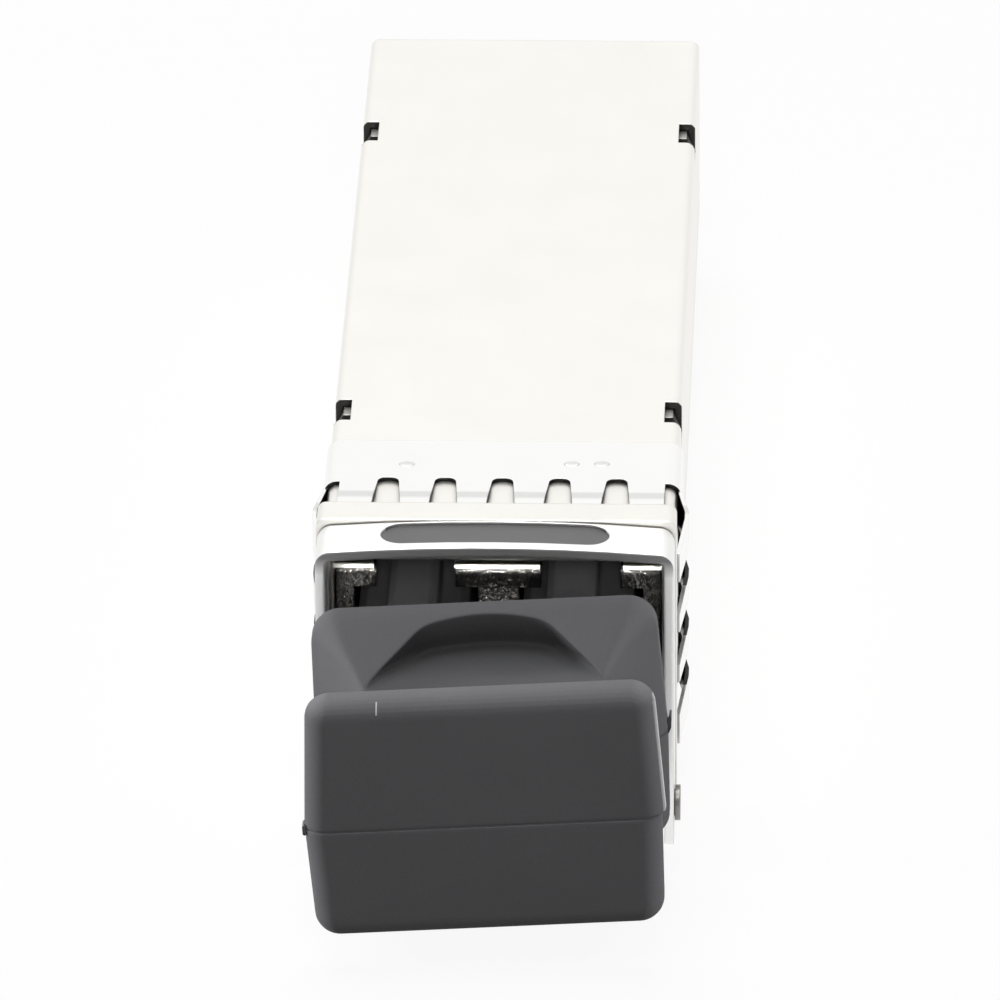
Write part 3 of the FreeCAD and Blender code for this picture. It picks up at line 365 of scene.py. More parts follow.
def moulded(name, hex_value, roughness, grit_mm, depth_mm=0.006, edge_mm=0.08, vary=0.12, gloss=0.5,
            soiled=None, polished=None):
    """A matt or glossy solid with a grit and faint patches. The first place finder multiplies the colour,
    which paints shade and light into it; polished finds places that differ.
    """
    material, tree, shader, place = new_finish(name)
    grit = add(tree, "ShaderNodeTexNoise", {"Vector": place, "Scale": 1 / grit_mm, "Detail": 4.0,
                                            "Roughness": 0.6})
    cloud = add(tree, "ShaderNodeTexNoise", {"Vector": place, "Scale": 1 / PATCH_MM, "Detail": 3.0})
    mixed = add(tree, "ShaderNodeMath", [grit, cloud], operation="ADD")
    tint = add(tree, "ShaderNodeMapRange",
               {"Value": mixed, "From Min": 2 * NOISE_LOW, "From Max": 2 * NOISE_HIGH,
                "To Min": 1 - vary, "To Max": 1 + vary})
    if soiled is not None:
        tint = add(tree, "ShaderNodeMath", [tint, soiled(tree, place)], operation="MULTIPLY")
    colour = add(tree, "ShaderNodeVectorMath", [linear(hex_value)[:3], tint], operation="MULTIPLY")
    rough = add(tree, "ShaderNodeMapRange",
                {"Value": cloud, "From Min": NOISE_LOW, "From Max": NOISE_HIGH,
                 "To Min": roughness - SKIN_VARY, "To Max": roughness + SKIN_VARY})
    shader.inputs["Specular IOR Level"].default_value = gloss
    if polished is not None:
        smooth = polished(tree, place)
        less = add(tree, "ShaderNodeMapRange", {"Value": smooth, "To Min": 1.0, "To Max": POLISHED_ROUGH})
        rough = add(tree, "ShaderNodeMath", [rough, less], operation="MULTIPLY")
        more = add(tree, "ShaderNodeMapRange", {"Value": smooth, "To Min": gloss, "To Max": POLISHED_GLOSS})
        tree.links.new(more.outputs[0], shader.inputs["Specular IOR Level"])
    edge = add(tree, "ShaderNodeBevel", {"Radius": edge_mm * MM}, samples=6)
    bump = add(tree, "ShaderNodeBump", {"Strength": GRIT_STRENGTH, "Distance": depth_mm * MM, "Height": grit,
                                        "Normal": edge})
    for socket, node in (("Base Color", colour), ("Roughness", rough), ("Normal", bump)):
        tree.links.new(node.outputs[0], shader.inputs[socket])
    return material


print("moulded recipe: a polished place keeps", POLISHED_ROUGH, "of the roughness")

# %% [markdown]
# Shade and light are painted into the plug's colour. Its finger scoops are painted darker the deeper they lie
# below the sloping top of the neck, and darker in their corners. The prongs and the up-facing parts of the
# front plate are painted paler, painted light; the plate also has a fresh nick. The plate's right side was
# moulded against a polished insert: seen edge-on, it mirrors the studio as a thin light line.

# %% Painted shade and light on the plug, and its nick
PLUG_MIDDLE = Vector((0, 0, 6.25))
PLUG_TURN = Matrix.Rotation(math.radians(-3.4), 3, "Y")
RIM_FRONT, RIM_BACK = -23.875, -22.925
RIM = dict(half=6.595, up=5.4, down=4.4, corner=1.1)
NECK_SLOPE = math.radians(20.0)
PLATE_REAR_Y, NICK_Y, PRONG_LIGHT_Y = -29.7, -30.2, -22.9
NICK_X, NICK_HALF_WIDTH, NICK_Z, NICK_HALF_HEIGHT = -4.0, 0.025, 10.95, 0.20
SCOOP_HALF, SCOOP_MIDDLE_Y, SCOOP_HALF_LENGTH = 5.0, -26.9, 3.05
# Painted shade: the scoops are darkened with depth below the neck's slope, down to this share.
SCOOP_SHADE_EDGE, SCOOP_SHADE_DEEP, SCOOP_SHADE = 0.05, 1.15, 0.5
BELOW_SLOPE, ON_FLANK = 0.03, 0.5
CORNER_REACH, CORNER_DARK = 3.0, 0.05
# Painted light: up-facing parts of the plate and the prongs are made paler by these factors; the nick is
# paler still.
PLATE_LIGHT_FROM, PLATE_LIGHT, PRONG_LIGHT, FRESH_RUBBER = 0.3, 1.6, 1.9, 4.0
POLISHED_ABOVE = 6.7

slope_normal = PLUG_TURN @ Vector((0, -math.sin(NECK_SLOPE), math.cos(NECK_SLOPE)))
slope_point = PLUG_TURN @ Vector((0, RIM_FRONT, RIM["up"])) + PLUG_MIDDLE


def plug_painted_light_and_nick(tree, place):
    """The plug: painted shade in the scoops, painted light on the plate and the prongs, and a fresh nick."""
    point = whereabouts(tree, place)
    level = add(tree, "ShaderNodeVectorMath", [place, slope_normal], operation="DOT_PRODUCT").outputs["Value"]
    deep = add(tree, "ShaderNodeMath", [slope_point.dot(slope_normal), level], operation="SUBTRACT")
    depth_shade = add(tree, "ShaderNodeMapRange", {"Value": deep, "From Min": SCOOP_SHADE_EDGE, "From Max": SCOOP_SHADE_DEEP,
                                            "To Min": 1.0, "To Max": SCOOP_SHADE})
    corners = painted_gap_shade(tree, CORNER_REACH, CORNER_DARK, in_the_open=1.0)
    scoop_shade = add(tree, "ShaderNodeMath", [depth_shade, corners], operation="MULTIPLY")
    outward = add(tree, "ShaderNodeMath", [point["x"], point["nx"]], operation="MULTIPLY")
    in_scoop = where(tree, (outward, BELOW, ON_FLANK), (deep, ABOVE, BELOW_SLOPE),
                     (point["x"], NEAR, 0.0, SCOOP_HALF),
                     (point["y"], NEAR, SCOOP_MIDDLE_Y, SCOOP_HALF_LENGTH))
    outside_scoop = add(tree, "ShaderNodeMath", [1.0, in_scoop], operation="SUBTRACT")
    upward = add(tree, "ShaderNodeMapRange", {"Value": point["nz"], "From Min": PLATE_LIGHT_FROM,
                                              "To Min": 1.0, "To Max": PLATE_LIGHT})
    on_plate = where(tree, (point["y"], BELOW, PLATE_REAR_Y))
    lit_plate = add(tree, "ShaderNodeMath", [on_plate, upward], operation="MULTIPLY")
    on_prongs = where(tree, (point["y"], ABOVE, PRONG_LIGHT_Y))
    lit_prongs = add(tree, "ShaderNodeMapRange", {"Value": on_prongs, "To Min": 1.0, "To Max": PRONG_LIGHT})
    shade = either(tree, scoop_shade, outside_scoop)
    for paler in (either(tree, lit_plate, 1.0), lit_prongs):
        shade = add(tree, "ShaderNodeMath", [shade, paler], operation="MULTIPLY")
    nick = where(tree, (point["y"], BELOW, NICK_Y), (point["x"], NEAR, NICK_X, NICK_HALF_WIDTH),
                 (point["z"], NEAR, NICK_Z, NICK_HALF_HEIGHT))
    return add(tree, "ShaderNodeMath", [nick, FRESH_RUBBER, shade], operation="MULTIPLY_ADD")


def polished_side(tree, place):
    """The plug: the right side of its plate, above the mould line."""
    point = whereabouts(tree, place)
    return where(tree, (point["y"], BELOW, PLATE_REAR_Y), (point["z"], ABOVE, POLISHED_ABOVE),
                 (point["nx"], ABOVE, TO_SIDE))


print("the neck's top passes through", [round(part, 2) for part in slope_point])

# %% Moulded and fired finishes
finishes.update({
    # soft dark grey that hardly gleams, with an even grit, painted shade in its scoops and painted light on
    # the plate and the prongs
    "plug_rubber": moulded("matt_moulded_rubber", "#646466", roughness=0.78, grit_mm=0.09, depth_mm=0.008,
                           edge_mm=0.20, vary=0.08, gloss=0.1, soiled=plug_painted_light_and_nick, polished=polished_side),
    # deep green with a wet, wavy gleam
    "board_green": moulded("green_solder_mask_on_laminate", "#14532D", roughness=0.32, grit_mm=0.40),
    # creamy white and glassy
    "sleeve_zirconia": moulded("polished_zirconia", "#F1EFE8", roughness=0.20, grit_mm=0.30, depth_mm=0.001,
                               edge_mm=0.05, vary=0.04),
    # amber, with the smooth gleam of film
    "flex_polyimide": moulded("polyimide_film", "#B8742A", roughness=0.30, grit_mm=0.35, depth_mm=0.002,
                              edge_mm=0.03),
    # dull slate grey, a little grainy
    "gasket_rubber": moulded("silver_filled_rubber_sheet", "#55565A", roughness=0.75, grit_mm=0.10),
    # flat mid grey with a low even gleam
    "inlay_enamel": moulded("baked_grey_enamel", "#666666", roughness=0.42, grit_mm=0.20, depth_mm=0.002,
                            edge_mm=0.04, vary=0.04),
    # near black and dry
    "chip_black": moulded("moulded_black_epoxy", "#26262A", roughness=0.58, grit_mm=0.08, depth_mm=0.004),
    # dry tan, like biscuit
    "capacitor_ceramic": moulded("fired_tan_ceramic", "#A98A66", roughness=0.52, grit_mm=0.10,
                                 depth_mm=0.003),
    # charcoal and dry
    "inductor_ferrite": moulded("fired_ferrite", "#3C3B3D", roughness=0.62, grit_mm=0.10, depth_mm=0.004),
    # pale blue-grey and chalky
    "pad_silicone": moulded("filled_silicone_pad", "#9AA6B2", roughness=0.80, grit_mm=0.15),
})
print("all finishes:", len(finishes))

# %% Dress the solid pieces
for row in frame["record"]["subparts"]:
    mesh = nodes[row["node"]].data
    mesh.materials.clear()
    mesh.materials.append(finishes[row["material_slot"]])


# %% [markdown]
# The dust plug is one rubber moulding: a front plate to press, a waisted neck with a finger scoop above and
# below, a rim that stops at the port, and two prongs. A moulding has soft edges and hollow flanks, so it is
# skinned over cross-sections that run from the plate to the rim, each a drafted outline with a narrow V where
# the two halves of the mould met. The scoops and the bores in the prongs are then cut out with booleans.

# %% Outlines of the plug
MOULD_LINE, MOULD_DEPTH = 0.05, 0.13
DRAFT = 0.13
CORNER_STEPS = 10


def plug_outline(y, half, up, down, corner, lean=0.0, step=0.0):
    """One cross-section, counter-clockwise from the right end of the mould line.

    Lean draws the upper left in, and step is how far the upper mould half stands out at the right."""
    points = [(half + step, MOULD_LINE)]
    for side, height, first, moved in ((1, up, 0, step), (-1, up, 90, lean), (-1, -down, 180, 0),
                                       (1, -down, 270, 0)):
        middle_x = side * (half - DRAFT - corner) + moved
        middle_z = height - math.copysign(corner, height)
        if first == 180:
            points += [(-half, MOULD_LINE), (-half + MOULD_DEPTH, 0), (-half, -MOULD_LINE)]
        for i in range(CORNER_STEPS + 1):
            angle = math.radians(first + 90 * i / CORNER_STEPS)
            points.append((middle_x + corner * math.cos(angle), middle_z + corner * math.sin(angle)))
    points += [(half, -MOULD_LINE), (half - MOULD_DEPTH, 0)]
    return [Vector((x, y, z)) for x, z in points]


def solid_span(node, axis):
    """Lowest and highest place of a solid piece along an axis, in millimetres."""
    places = [vertex.co[axis] / MM for vertex in nodes[node].data.vertices]
    return min(places), max(places)


PLUG_FRONT, PRONG_TIP = solid_span("dust_plug", 1)
print("plug from", round(PLUG_FRONT, 3), "to", round(PRONG_TIP, 3))

# %% Sections of the plate
FACE_GAP = 0.005
PLATE_FRONT, PLATE_BACK = PLUG_FRONT + FACE_GAP, -29.775
PLATE = dict(half=6.63, up=5.27, down=4.53, corner=0.95, lean=0.17, step=0.15)
PLATE_SHIFT = -0.11
PLATE_ROLL, PLATE_BACK_ROLL = 0.8, 0.2
FACE_DRAFT = 0.015
ROLL_STEPS = 7
LEAST_CORNER = 0.2


def rolled_edge(form, y, radius, way, leaving):
    """Quarter-round edge of a slab whose face is at y: way leads inward, leaving puts the face last."""
    rings = []
    for i in range(ROLL_STEPS + 1):
        angle = math.radians(90 * i / ROLL_STEPS)
        angle = math.pi / 2 - angle if leaving else angle
        inset = radius * (1 - math.sin(angle))
        smaller = {side: form[side] - inset for side in ("half", "up", "down")}
        smaller["corner"] = max(form["corner"] - inset, LEAST_CORNER)
        rings.append(plug_outline(y + way * radius * (1 - math.cos(angle)), **{**form, **smaller}))
    return rings


plate_face = rolled_edge(PLATE, PLATE_FRONT, PLATE_ROLL, 1, False)
for point in sum(plate_face, []):
    point.y += FACE_DRAFT * abs(point.z) + (MOULD_DEPTH if point.z == 0 else 0)
plate_rings = plate_face + rolled_edge(PLATE, PLATE_BACK, PLATE_BACK_ROLL, -1, True)
for point in sum(plate_rings, []):
    point.x += PLATE_SHIFT
print("plate sections:", len(plate_rings))

# %% Sections of the neck and the rim
NECK_FRONT_HALF = 4.2
NECK_CORNER, CORNER_GROWTH = 0.2, 4
NECK_STEPS = 24
NECK_IN_PLATE = 0.3
FLANK_HOLLOW = 1.7
ROOT_FLARE, ROOT_SHARE = 0.45, 0.12
RIM_ROLL = 0.28

neck_length = RIM_FRONT - PLATE_BACK
handle_rings = []
for i in range(-1, NECK_STEPS + 1):
    share = max(i, 0) / NECK_STEPS
    flare = ROOT_FLARE * max(0.0, 1 - share / ROOT_SHARE) ** 2
    half = NECK_FRONT_HALF + (RIM["half"] - NECK_FRONT_HALF) * share ** FLANK_HOLLOW + flare
    corner = NECK_CORNER + (RIM["corner"] - NECK_CORNER) * share ** CORNER_GROWTH
    fall = (1 - share) * neck_length * math.tan(NECK_SLOPE)
    y = PLATE_BACK + share * neck_length - (NECK_IN_PLATE if i < 0 else 0)
    handle_rings.append(plug_outline(y, half, RIM["up"] - fall + flare, RIM["down"] - fall + flare, corner))
handle_rings += rolled_edge(RIM, RIM_BACK, RIM_ROLL, -1, True)
print("neck and rim sections:", len(handle_rings))


# %% Skin and cut
def mesh_object(name, bm):
    """An object in the scene, with its faces turned outward."""
    bmesh.ops.recalc_face_normals(bm, faces=bm.faces)
    mesh = bpy.data.meshes.new(name)
    bm.to_mesh(mesh)
    bm.free()
    made = bpy.data.objects.new(name, mesh)
    bpy.context.scene.collection.objects.link(made)
    return made


def skin(name, rings, split_front=False):
    """A closed skin over rings of points; split_front cuts the front face along the mould line."""
    bm = bmesh.new()
    rows = [[bm.verts.new(point) for point in ring] for ring in rings]
    count = len(rows[0])
    for before, after in zip(rows, rows[1:]):
        for i in range(count):
            bm.faces.new((before[i - 1], before[i], after[i], after[i - 1]))
    bm.faces.new(rows[-1])
    front = rows[0]
    if split_front:
        line = count // 2 - 1
        bm.faces.new(front[:line])
        bm.faces.new((front[line - 1], front[line], front[-1], front[0]))
        bm.faces.new((front[line], front[line + 1], front[-2], front[-1]))
        bm.faces.new(front[line + 1:-1])
    else:
        bm.faces.new(front)
    return mesh_object(name, bm)


def plain_mesh(piece):
    """Turns the piece with its modifiers into a plain mesh."""
    plain = bpy.data.meshes.new_from_object(piece.evaluated_get(bpy.context.evaluated_depsgraph_get()))
    piece.modifiers.clear()
    piece.data = plain


def cut(piece, cutter):
    """Cuts the cutter's shape out of the piece and removes the cutter."""
    tool = piece.modifiers.new("cut", "BOOLEAN")
    tool.operation = "DIFFERENCE"
    tool.solver = "EXACT"
    tool.object = cutter
    plain_mesh(piece)
    bpy.data.objects.remove(cutter)


plate = skin("plug_plate", plate_rings, split_front=True)
handle = skin("plug_handle", handle_rings)
print("plug faces before the cuts:", len(plate.data.polygons) + len(handle.data.polygons))

# %% Finger scoops
# Corners of the scoop from the plate round to the plate again: x, y and radius.
SCOOP_CORNERS = ((4.75, -29.6, 0.1), (4.6, -27.3, 0.3), (2.4, -24.45, 1.6), (0.1, -23.85, 6.0),
                 (-2.2, -24.45, 1.6), (-4.4, -27.3, 0.3), (-4.75, -29.6, 0.1))
# The wall of the scoop from its floor up: inset and height.
SCOOP_WALL = ((0.35, 0.0), (0.16, 0.05), (0.05, 0.16), (0.0, 0.35), (0.0, 4.0))
SCOOP_DEPTH = 1.35
ROUND_STEPS = 12


def scoop(height, way):
    """Finger scoop with an upright wall and a flat floor: a rounded trapezium that widens to the plate."""
    points = []
    for i, (x, y, radius) in enumerate(SCOOP_CORNERS):
        corner = Vector((x, y))
        before, after = ((Vector(SCOOP_CORNERS[j % len(SCOOP_CORNERS)][:2]) - corner).normalized()
                         for j in (i - 1, i + 1))
        reach = radius / math.tan(before.angle(after) / 2)
        start, end = corner + before * reach, corner + after * reach
        for k in range(ROUND_STEPS + 1):
            share = k / ROUND_STEPS
            points.append(start.lerp(corner, share).lerp(corner.lerp(end, share), share))
    middle = sum(points, Vector((0, 0))) / len(points)
    rings = []
    for inset, lift in SCOOP_WALL:
        inner = [point + (middle - point).normalized() * inset for point in points]
        rings.append([Vector((point.x, point.y, height + way * lift)) for point in inner])
    return skin("scoop", rings)


cut(handle, scoop(RIM["up"] - SCOOP_DEPTH, 1))
cut(handle, scoop(SCOOP_DEPTH - RIM["down"], -1))
print("plug faces:", len(plate.data.polygons) + len(handle.data.polygons))

# %% [markdown]
# The prongs go into the two ports and carry a rib that fills the latch notch. They are simple bars with
# broken edges, bored to clear the optical barrels. Two small nubs at the mould line are what is left of
# the gates. Everything is joined to one piece and turned by the few degrees that the plug sits askew.

# %% Prongs and nubs
PRONG_ROOT = -23.4
SHANK_X, SHANK = 3.125, dict(half_w=2.1, low=-1.95, high=1.95, cut_off=0.35)
RIB_X, RIB = 3.0, dict(half_w=0.925, low=1.0, high=3.3, cut_off=0.3)
BORE_R, BORE_ENDS, BORE_STEPS = 1.8, (-14.775, -5.0), 48
NUB, NUB_ENDS = dict(half_w=0.07, low=-0.25, high=0.15, cut_off=0.05), (-30.6, -30.1)
HOOK_ENDS = (-23.7, -23.1)
# The right gate broke off as a small hook: x and z of its outline.
HOOK = ((6.45, -0.20), (6.62, -0.14), (6.72, 0.07), (6.75, 0.52), (6.69, 0.54), (6.62, 0.24), (6.45, 0.14))


def prism(name, outline, ends):
    """A bar along y with the same outline at both ends."""
    return skin(name, [[Vector((x, y, z)) for x, z in outline] for y in ends])


def bar(name, x, ends, half_w, low, high, cut_off):
    """A bar with a rectangular section whose four corners are cut off."""
    outline = []
    for side, z in ((1, low), (1, high), (-1, high), (-1, low)):
        inner = math.copysign(cut_off, z - (low + high) / 2)
        corner = [(x + side * half_w, z - inner), (x + side * (half_w - cut_off), z)]
        outline += corner if (side > 0) == (z == high) else corner[::-1]
    return prism(name, outline, ends)


def bore(x):
    """The round hole of a prong, as a cutter."""
    angles = [2 * math.pi * i / BORE_STEPS for i in range(BORE_STEPS)]
    return prism("bore", [(x + BORE_R * math.cos(a), BORE_R * math.sin(a)) for a in angles], BORE_ENDS)


extras = []
for side in (-1, 1):
    for name, x, section in (("shank", SHANK_X, SHANK), ("rib", RIB_X, RIB)):
        piece = bar(name, side * x, (PRONG_ROOT, PRONG_TIP), **section)
        cut(piece, bore(side * SHANK_X))
        extras.append(piece)
extras.append(bar("gate_left", PLATE_SHIFT - PLATE["half"], NUB_ENDS, **NUB))
extras.append(prism("gate_right", HOOK, HOOK_ENDS))
print("prongs, ribs and nubs:", len(extras))

# %% Join the plug
SMOOTH_ANGLE = math.radians(28)

whole = bmesh.new()
for piece in [plate, handle] + extras:
    whole.from_mesh(piece.data)
    bpy.data.objects.remove(piece)
for vertex in whole.verts:
    vertex.co = (PLUG_TURN @ vertex.co + PLUG_MIDDLE) * MM
dust_plug = mesh_object("rubber_dust_plug", whole)
dust_plug.data.shade_smooth()
dust_plug.data.set_sharp_from_angle(angle=SMOOTH_ANGLE)
dust_plug.data.materials.append(finishes["plug_rubber"])
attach(dust_plug, "plug")
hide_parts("dust_plug")
print("plug:", [round(side / MM, 2) for side in dust_plug.dimensions], "mm")

# %% [markdown]
# Each tooth of the receptacle has a flat chamfer along its top edge. It is narrow, but it tilts toward the
# open front, so it mirrors the bright room out of a dark port. Its nickel is a paler, lit copy of the
# receptacle's, without painted gap shade, so part of that highlight is painted. A bevel on the solid would
# change its mesh, so each chamfer is a bar with a five-sided section, laid into the rounded edge of a tooth.

# %% Chamfers of the teeth, a lit copy of their nickel
# Left and right end of each tooth, then y and z of the chamfer's section.
TEETH = ((-6.25, -4.72), (-1.66, 1.58), (4.72, 6.25))
CHAMFER = ((-15.45, 9.35), (-15.715, 9.35), (-15.645, 9.50), (-15.60, 9.535), (-15.40, 9.545))

chamfers = bmesh.new()
for ends in TEETH:
    piece = skin("chamfer", [[Vector((x, y, z)) * MM for y, z in CHAMFER] for x in ends])
    chamfers.from_mesh(piece.data)
    bpy.data.objects.remove(piece)
tooth_chamfers = mesh_object("tooth_chamfers", chamfers)
# a bright, warm line of light: a paler, lit copy of the receptacle's nickel, without painted gap shade
lit_nickel_copy = metal("buffed_nickel_edge", "#EFEDE7", roughness=0.20, grain_mm=0.15, depth_mm=0.03, edge_mm=0.03,
               gap_mm=0.2, gap_dark=1.0)
tooth_chamfers.data.materials.append(lit_nickel_copy)
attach(tooth_chamfers, "module")
print("chamfers on", len(TEETH), "teeth")

# %% [markdown]
# Small things come in rows: the tinned ends of the chip capacitors, the tracks from the edge contacts to
# their vias, the weld spots that close the collar. A row is a line of points with the same part on each, so
# one geometry tree makes any of them from a count, a start, a pitch and a size. Several rows stack as
# modifiers on one object, which is then kept as a plain mesh.

# %% A tree for rows
ROW_INPUTS = (("Geometry", "Geometry"), ("Count", "Int"), ("Start", "Vector"), ("Pitch", "Vector"),
              ("Size", "Vector"), ("Material", "Material"))


def row_tree(name, shape, inputs):
    """A tree that sets the same shape on each point of a line."""
    tree = bpy.data.node_groups.new(name, "GeometryNodeTree")
    for socket, kind in ROW_INPUTS:
        tree.interface.new_socket(name=socket, in_out="INPUT", socket_type="NodeSocket" + kind)
    tree.interface.new_socket(name="Geometry", in_out="OUTPUT", socket_type="NodeSocketGeometry")
    given = add(tree, "NodeGroupInput").outputs
    line = add(tree, "GeometryNodeMeshLine", {"Count": given["Count"], "Start Location": given["Start"],
                                              "Offset": given["Pitch"]})
    row = add(tree, "GeometryNodeInstanceOnPoints", {"Points": line, "Instance": add(tree, shape, inputs),
                                                     "Scale": given["Size"]})
    both = add(tree, "GeometryNodeJoinGeometry", [given["Geometry"]])
    tree.links.new(row.outputs[0], both.inputs[0])
    solid = add(tree, "GeometryNodeRealizeInstances", [both])
    dressed = add(tree, "GeometryNodeSetMaterial", {"Geometry": solid, "Material": given["Material"]})
    add(tree, "NodeGroupOutput", [dressed])
    return tree


def grow(name, tree, rows, size, finish):
    """One object with a modifier for each row, made plain and set on the module."""
    piece = bpy.data.objects.new(name, bpy.data.meshes.new(name))
    bpy.context.scene.collection.objects.link(piece)
    sockets = {item.name: item.identifier for item in tree.interface.items_tree if item.in_out == "INPUT"}
    for count, start, pitch in rows:
        row = piece.modifiers.new("row", "NODES")
        row.node_group = tree
        row[sockets["Count"]] = count
        for socket, value in (("Start", start), ("Pitch", pitch), ("Size", size)):
            row[sockets[socket]] = [part * MM for part in value]
        row[sockets["Material"]] = finish
    plain_mesh(piece)
    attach(piece, "module")
    print(name, len(piece.data.polygons), "faces")


boxes = row_tree("row_of_boxes", "GeometryNodeMeshCube", {"Size": (1, 1, 1)})
discs = row_tree("row_of_discs", "GeometryNodeMeshCylinder", {"Vertices": 24, "Radius": 0.5, "Depth": 1.0})
lenses = row_tree("row_of_lenses", "GeometryNodeMeshUVSphere", {"Segments": 24, "Rings": 12, "Radius": 0.5})
print("row trees:", len(bpy.data.node_groups))

# %% Tinned ends of the capacitors
BOARD_BOTTOM, BOARD_TOP = solid_span("circuit_board", 2)
CAP_ROWS = (5.375, 11.175, 17.975, 19.375)
CAP_PITCH, CAP_COUNT = 1.65, 6
CAP_END_Y, CAP_END_Z = 0.385, 0.26
CAP_END_SIZE = (0.54, 0.27, 0.53)

# light grey with a soft gleam
tin = metal("tin_plate_on_capacitor_ends", "#D9D9D7", roughness=0.30, grain_mm=0.15)
cap_start = -(CAP_COUNT - 1) / 2 * CAP_PITCH
cap_ends = [(CAP_COUNT, (cap_start, y + end, BOARD_TOP + CAP_END_Z), (CAP_PITCH, 0, 0))
            for y in CAP_ROWS for end in (-CAP_END_Y, CAP_END_Y)]
grow("capacitor_ends", boxes, cap_ends, CAP_END_SIZE, tin)

# %% Tracks and vias
CONTACT_PITCH, CONTACT_COUNT = 0.8, 10
TRACK_Y, TRACK_SIZE = 22.9, (0.30, 3.5, 0.05)
VIA_Y, VIA_SIZE = 20.75, (0.45, 0.45, 0.08)

# lighter green where the varnish lies over copper
track = moulded("solder_mask_over_copper_track", "#1F6B3C", roughness=0.32, grit_mm=0.40, depth_mm=0.004)
contact_start = -(CONTACT_COUNT - 1) / 2 * CONTACT_PITCH
tracks, vias = ([(CONTACT_COUNT, (contact_start, y, z), (CONTACT_PITCH, 0, 0))
                 for z in (BOARD_TOP, BOARD_BOTTOM)] for y in (TRACK_Y, VIA_Y))
grow("contact_tracks", boxes, tracks, TRACK_SIZE, track)
grow("plated_vias", discs, vias, VIA_SIZE, finishes["contact_gold"])

# %% Weld spots on the collar
BAND_TOP = 10.555
WELD_SIZE = (0.62, 0.45, 0.06)
# Rows of weld spots: count, first place and pitch.
WELDS = [(1, (-3.70, -9.11, BAND_TOP), (1, 0, 0)), (2, (2.60, -8.99, BAND_TOP), (1.15, 0.02, 0))]

# small grey dimples with a blurred gleam
weld = metal("resistance_weld_spot", "#DCDBD8", roughness=0.45, grain_mm=0.10)
grow("collar_welds", lenses, WELDS, WELD_SIZE, weld)

# %% [markdown]
# The studio is a white sweep. A plain white floor would light the object from below and wash it out, so the
# floor and the sky look white to the camera and in reflections but give the object only a plain level of
# light. Pale metal keeps its tone that way. To the sides the mirrored sky is a little greyer, like a room,
# which gives the metal its form.

# %% Floor
FLOOR_HALF = 4.0
FLOOR_FOR_LIGHT = "#6A6A69"
FLOOR_GLOW = 0.91
FLOOR_CORNERS = ((-1, -1), (1, -1), (1, 1), (-1, 1))


def seen_directly(tree):
    """1 for light that reaches the eye straight, by a mirror or through glass."""
    path = add(tree, "ShaderNodeLightPath").outputs
    return either(tree, path["Is Camera Ray"], path["Is Glossy Ray"], path["Is Transmission Ray"])


def white_floor():
    """Paper, which gives the eye an even white with soft shadows and no edge."""
    material = bpy.data.materials.new("white_paper_sweep")
    material.use_nodes = True
    tree = material.node_tree
    tree.nodes.clear()
    plain = add(tree, "ShaderNodeBsdfDiffuse", {"Color": linear(FLOOR_FOR_LIGHT)})
    white = add(tree, "ShaderNodeBsdfDiffuse", {"Color": WHITE})
    glow = add(tree, "ShaderNodeEmission", {"Color": WHITE, "Strength": 1.0})
    paper = add(tree, "ShaderNodeMixShader", [FLOOR_GLOW, white, glow])
    surface = add(tree, "ShaderNodeMixShader", [seen_directly(tree), plain, paper])
    add(tree, "ShaderNodeOutputMaterial", {"Surface": surface})
    return material


floor_mesh = bpy.data.meshes.new("floor")
floor_z = CAD_BOX[0][2]
corners = [(x * FLOOR_HALF, y * FLOOR_HALF, floor_z) for x, y in FLOOR_CORNERS]
floor_mesh.from_pydata(corners, [], [range(len(corners))])
floor_mesh.materials.append(white_floor())
floor = bpy.data.objects.new("floor", floor_mesh)
bpy.context.scene.collection.objects.link(floor)
print("floor at", floor_z)

# %% Sky
SKY_LIGHT = 0.07
ROOM_GREY = 0.7
SIDES_FROM, SIDES_TO = 0.4, 0.9

world = bpy.data.worlds.new("studio_sky")
bpy.context.scene.world = world
world.use_nodes = True
sky = world.node_tree
sky.nodes.clear()
soft = add(sky, "ShaderNodeBackground", {"Color": WHITE, "Strength": SKY_LIGHT})
direction = add(sky, "ShaderNodeTexCoord").outputs["Generated"]
unsigned = add(sky, "ShaderNodeVectorMath", [direction], operation="ABSOLUTE")
sideways = add(sky, "ShaderNodeSeparateXYZ", [unsigned]).outputs["X"]
room = add(sky, "ShaderNodeMapRange", {"Value": sideways, "From Min": SIDES_FROM, "From Max": SIDES_TO,
                                       "To Min": 1.0, "To Max": ROOM_GREY})
to_camera = add(sky, "ShaderNodeLightPath").outputs["Is Camera Ray"]
white = add(sky, "ShaderNodeBackground", {"Color": WHITE, "Strength": either(sky, to_camera, room)})
seen = add(sky, "ShaderNodeMixShader", [seen_directly(sky), soft, white])
add(sky, "ShaderNodeOutputWorld", {"Surface": seen})
print("sky gives", SKY_LIGHT, "of white as light")

# %% [markdown]
# A large softbox overhead makes the top faces bright and leaves the front of the rubber dark, as in the
# photograph, and two smaller ones in front fill in. Two low cards light the flanks. The cards and the lower
# front softbox light matt surfaces only, or the metal would mirror them as hard white patches. A narrow
# spot with a snoot, a tube that keeps its beam small, does the opposite: it only glints in the port.

# %% Lamps
# Places and sizes are in metres, as in the scene.
SNOOT_ANGLE, SNOOT_BLEND = math.radians(1.6), 0.2
PORT = (0, -0.0165, 0.0092)


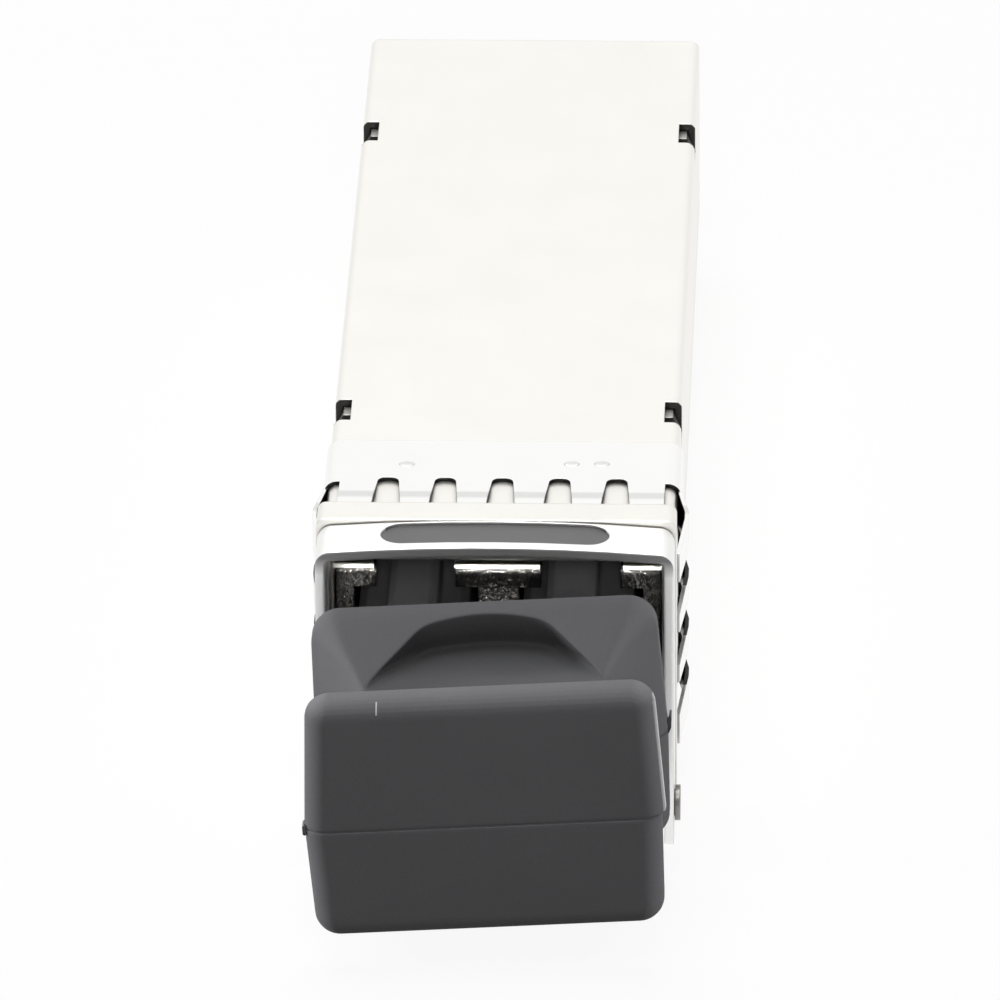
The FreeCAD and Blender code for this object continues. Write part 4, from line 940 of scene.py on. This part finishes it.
def lamp(name, place, size, watts, kind="AREA", aim=(0, 0, 0), lights=True, shines=True):
    """A round lamp: lights says if it lights matt surfaces, shines if metal mirrors it."""
    source = bpy.data.lights.new(name, kind)
    source.energy = watts
    if kind == "AREA":
        source.shape = "DISK"
        source.size = size
    else:
        source.shadow_soft_size = size / 2
        source.spot_size = SNOOT_ANGLE
        source.spot_blend = SNOOT_BLEND
    holder = bpy.data.objects.new(name, source)
    holder.location = place
    holder.rotation_euler = (Vector(aim) - Vector(place)).to_track_quat("-Z", "Y").to_euler()
    holder.visible_diffuse = lights
    holder.visible_glossy = shines
    bpy.context.scene.collection.objects.link(holder)


lamp("overhead_softbox", place=(-0.06, 0.06, 0.50), size=0.35, watts=1.35)
lamp("left_card", place=(-0.45, 0.03, 0.024), size=0.04, watts=2.3, shines=False)
lamp("right_card", place=(0.45, 0.03, 0.024), size=0.04, watts=1.4, shines=False)
lamp("front_softbox", place=(0.02, -0.50, 0.24), size=0.12, watts=0.6, shines=False)
lamp("high_softbox", place=(-0.04, -0.28, 0.48), size=0.20, watts=0.5)
lamp("port_snoot", place=(-0.04, -0.50, 0.26), size=0.16, watts=170.0, kind="SPOT", aim=PORT, lights=False)

# %% [markdown]
# The camera stands where the photograph was taken from: in front of the plug, a little to the right and
# about 26 degrees up, with a long lens. A small shift puts the module where the picture has it.

# %% Camera
IMAGE_SIZE = 1000
SENSOR = 36.0
FOCAL_PIXELS = 13880.7
AZIMUTH = math.radians(1.981)
ELEVATION = math.radians(25.628)
ROLL = math.radians(-0.394)
DISTANCE = 540.93 * MM
TARGET = Vector((0, 0.525, 6.25)) * MM
TARGET_PIXEL = (512.45, 457.34)
CLIP_NEAR, CLIP_FAR = 0.01, 50.0

level = Vector((math.sin(AZIMUTH), -math.cos(AZIMUTH), 0))
back = level * math.cos(ELEVATION) + Vector((0, 0, math.sin(ELEVATION)))
right = Vector((math.cos(AZIMUTH), math.sin(AZIMUTH), 0))
up = back.cross(right)
tilted_right = right * math.cos(ROLL) + up * math.sin(ROLL)
tilted_up = up * math.cos(ROLL) - right * math.sin(ROLL)
lens = bpy.data.cameras.new("camera")
lens.sensor_width = SENSOR
lens.lens = SENSOR * FOCAL_PIXELS / IMAGE_SIZE
lens.shift_x = -(TARGET_PIXEL[0] - IMAGE_SIZE / 2) / IMAGE_SIZE
lens.shift_y = (TARGET_PIXEL[1] - IMAGE_SIZE / 2) / IMAGE_SIZE
lens.clip_start, lens.clip_end = CLIP_NEAR, CLIP_FAR
camera = bpy.data.objects.new("camera", lens)
turn = Matrix((tilted_right, tilted_up, back)).transposed().to_4x4()
camera.matrix_world = Matrix.Translation(TARGET + back * DISTANCE) @ turn
bpy.context.scene.collection.objects.link(camera)
bpy.context.scene.camera = camera
bpy.context.scene.view_settings.view_transform = "Standard"
print("camera lens", round(lens.lens, 1), "mm")
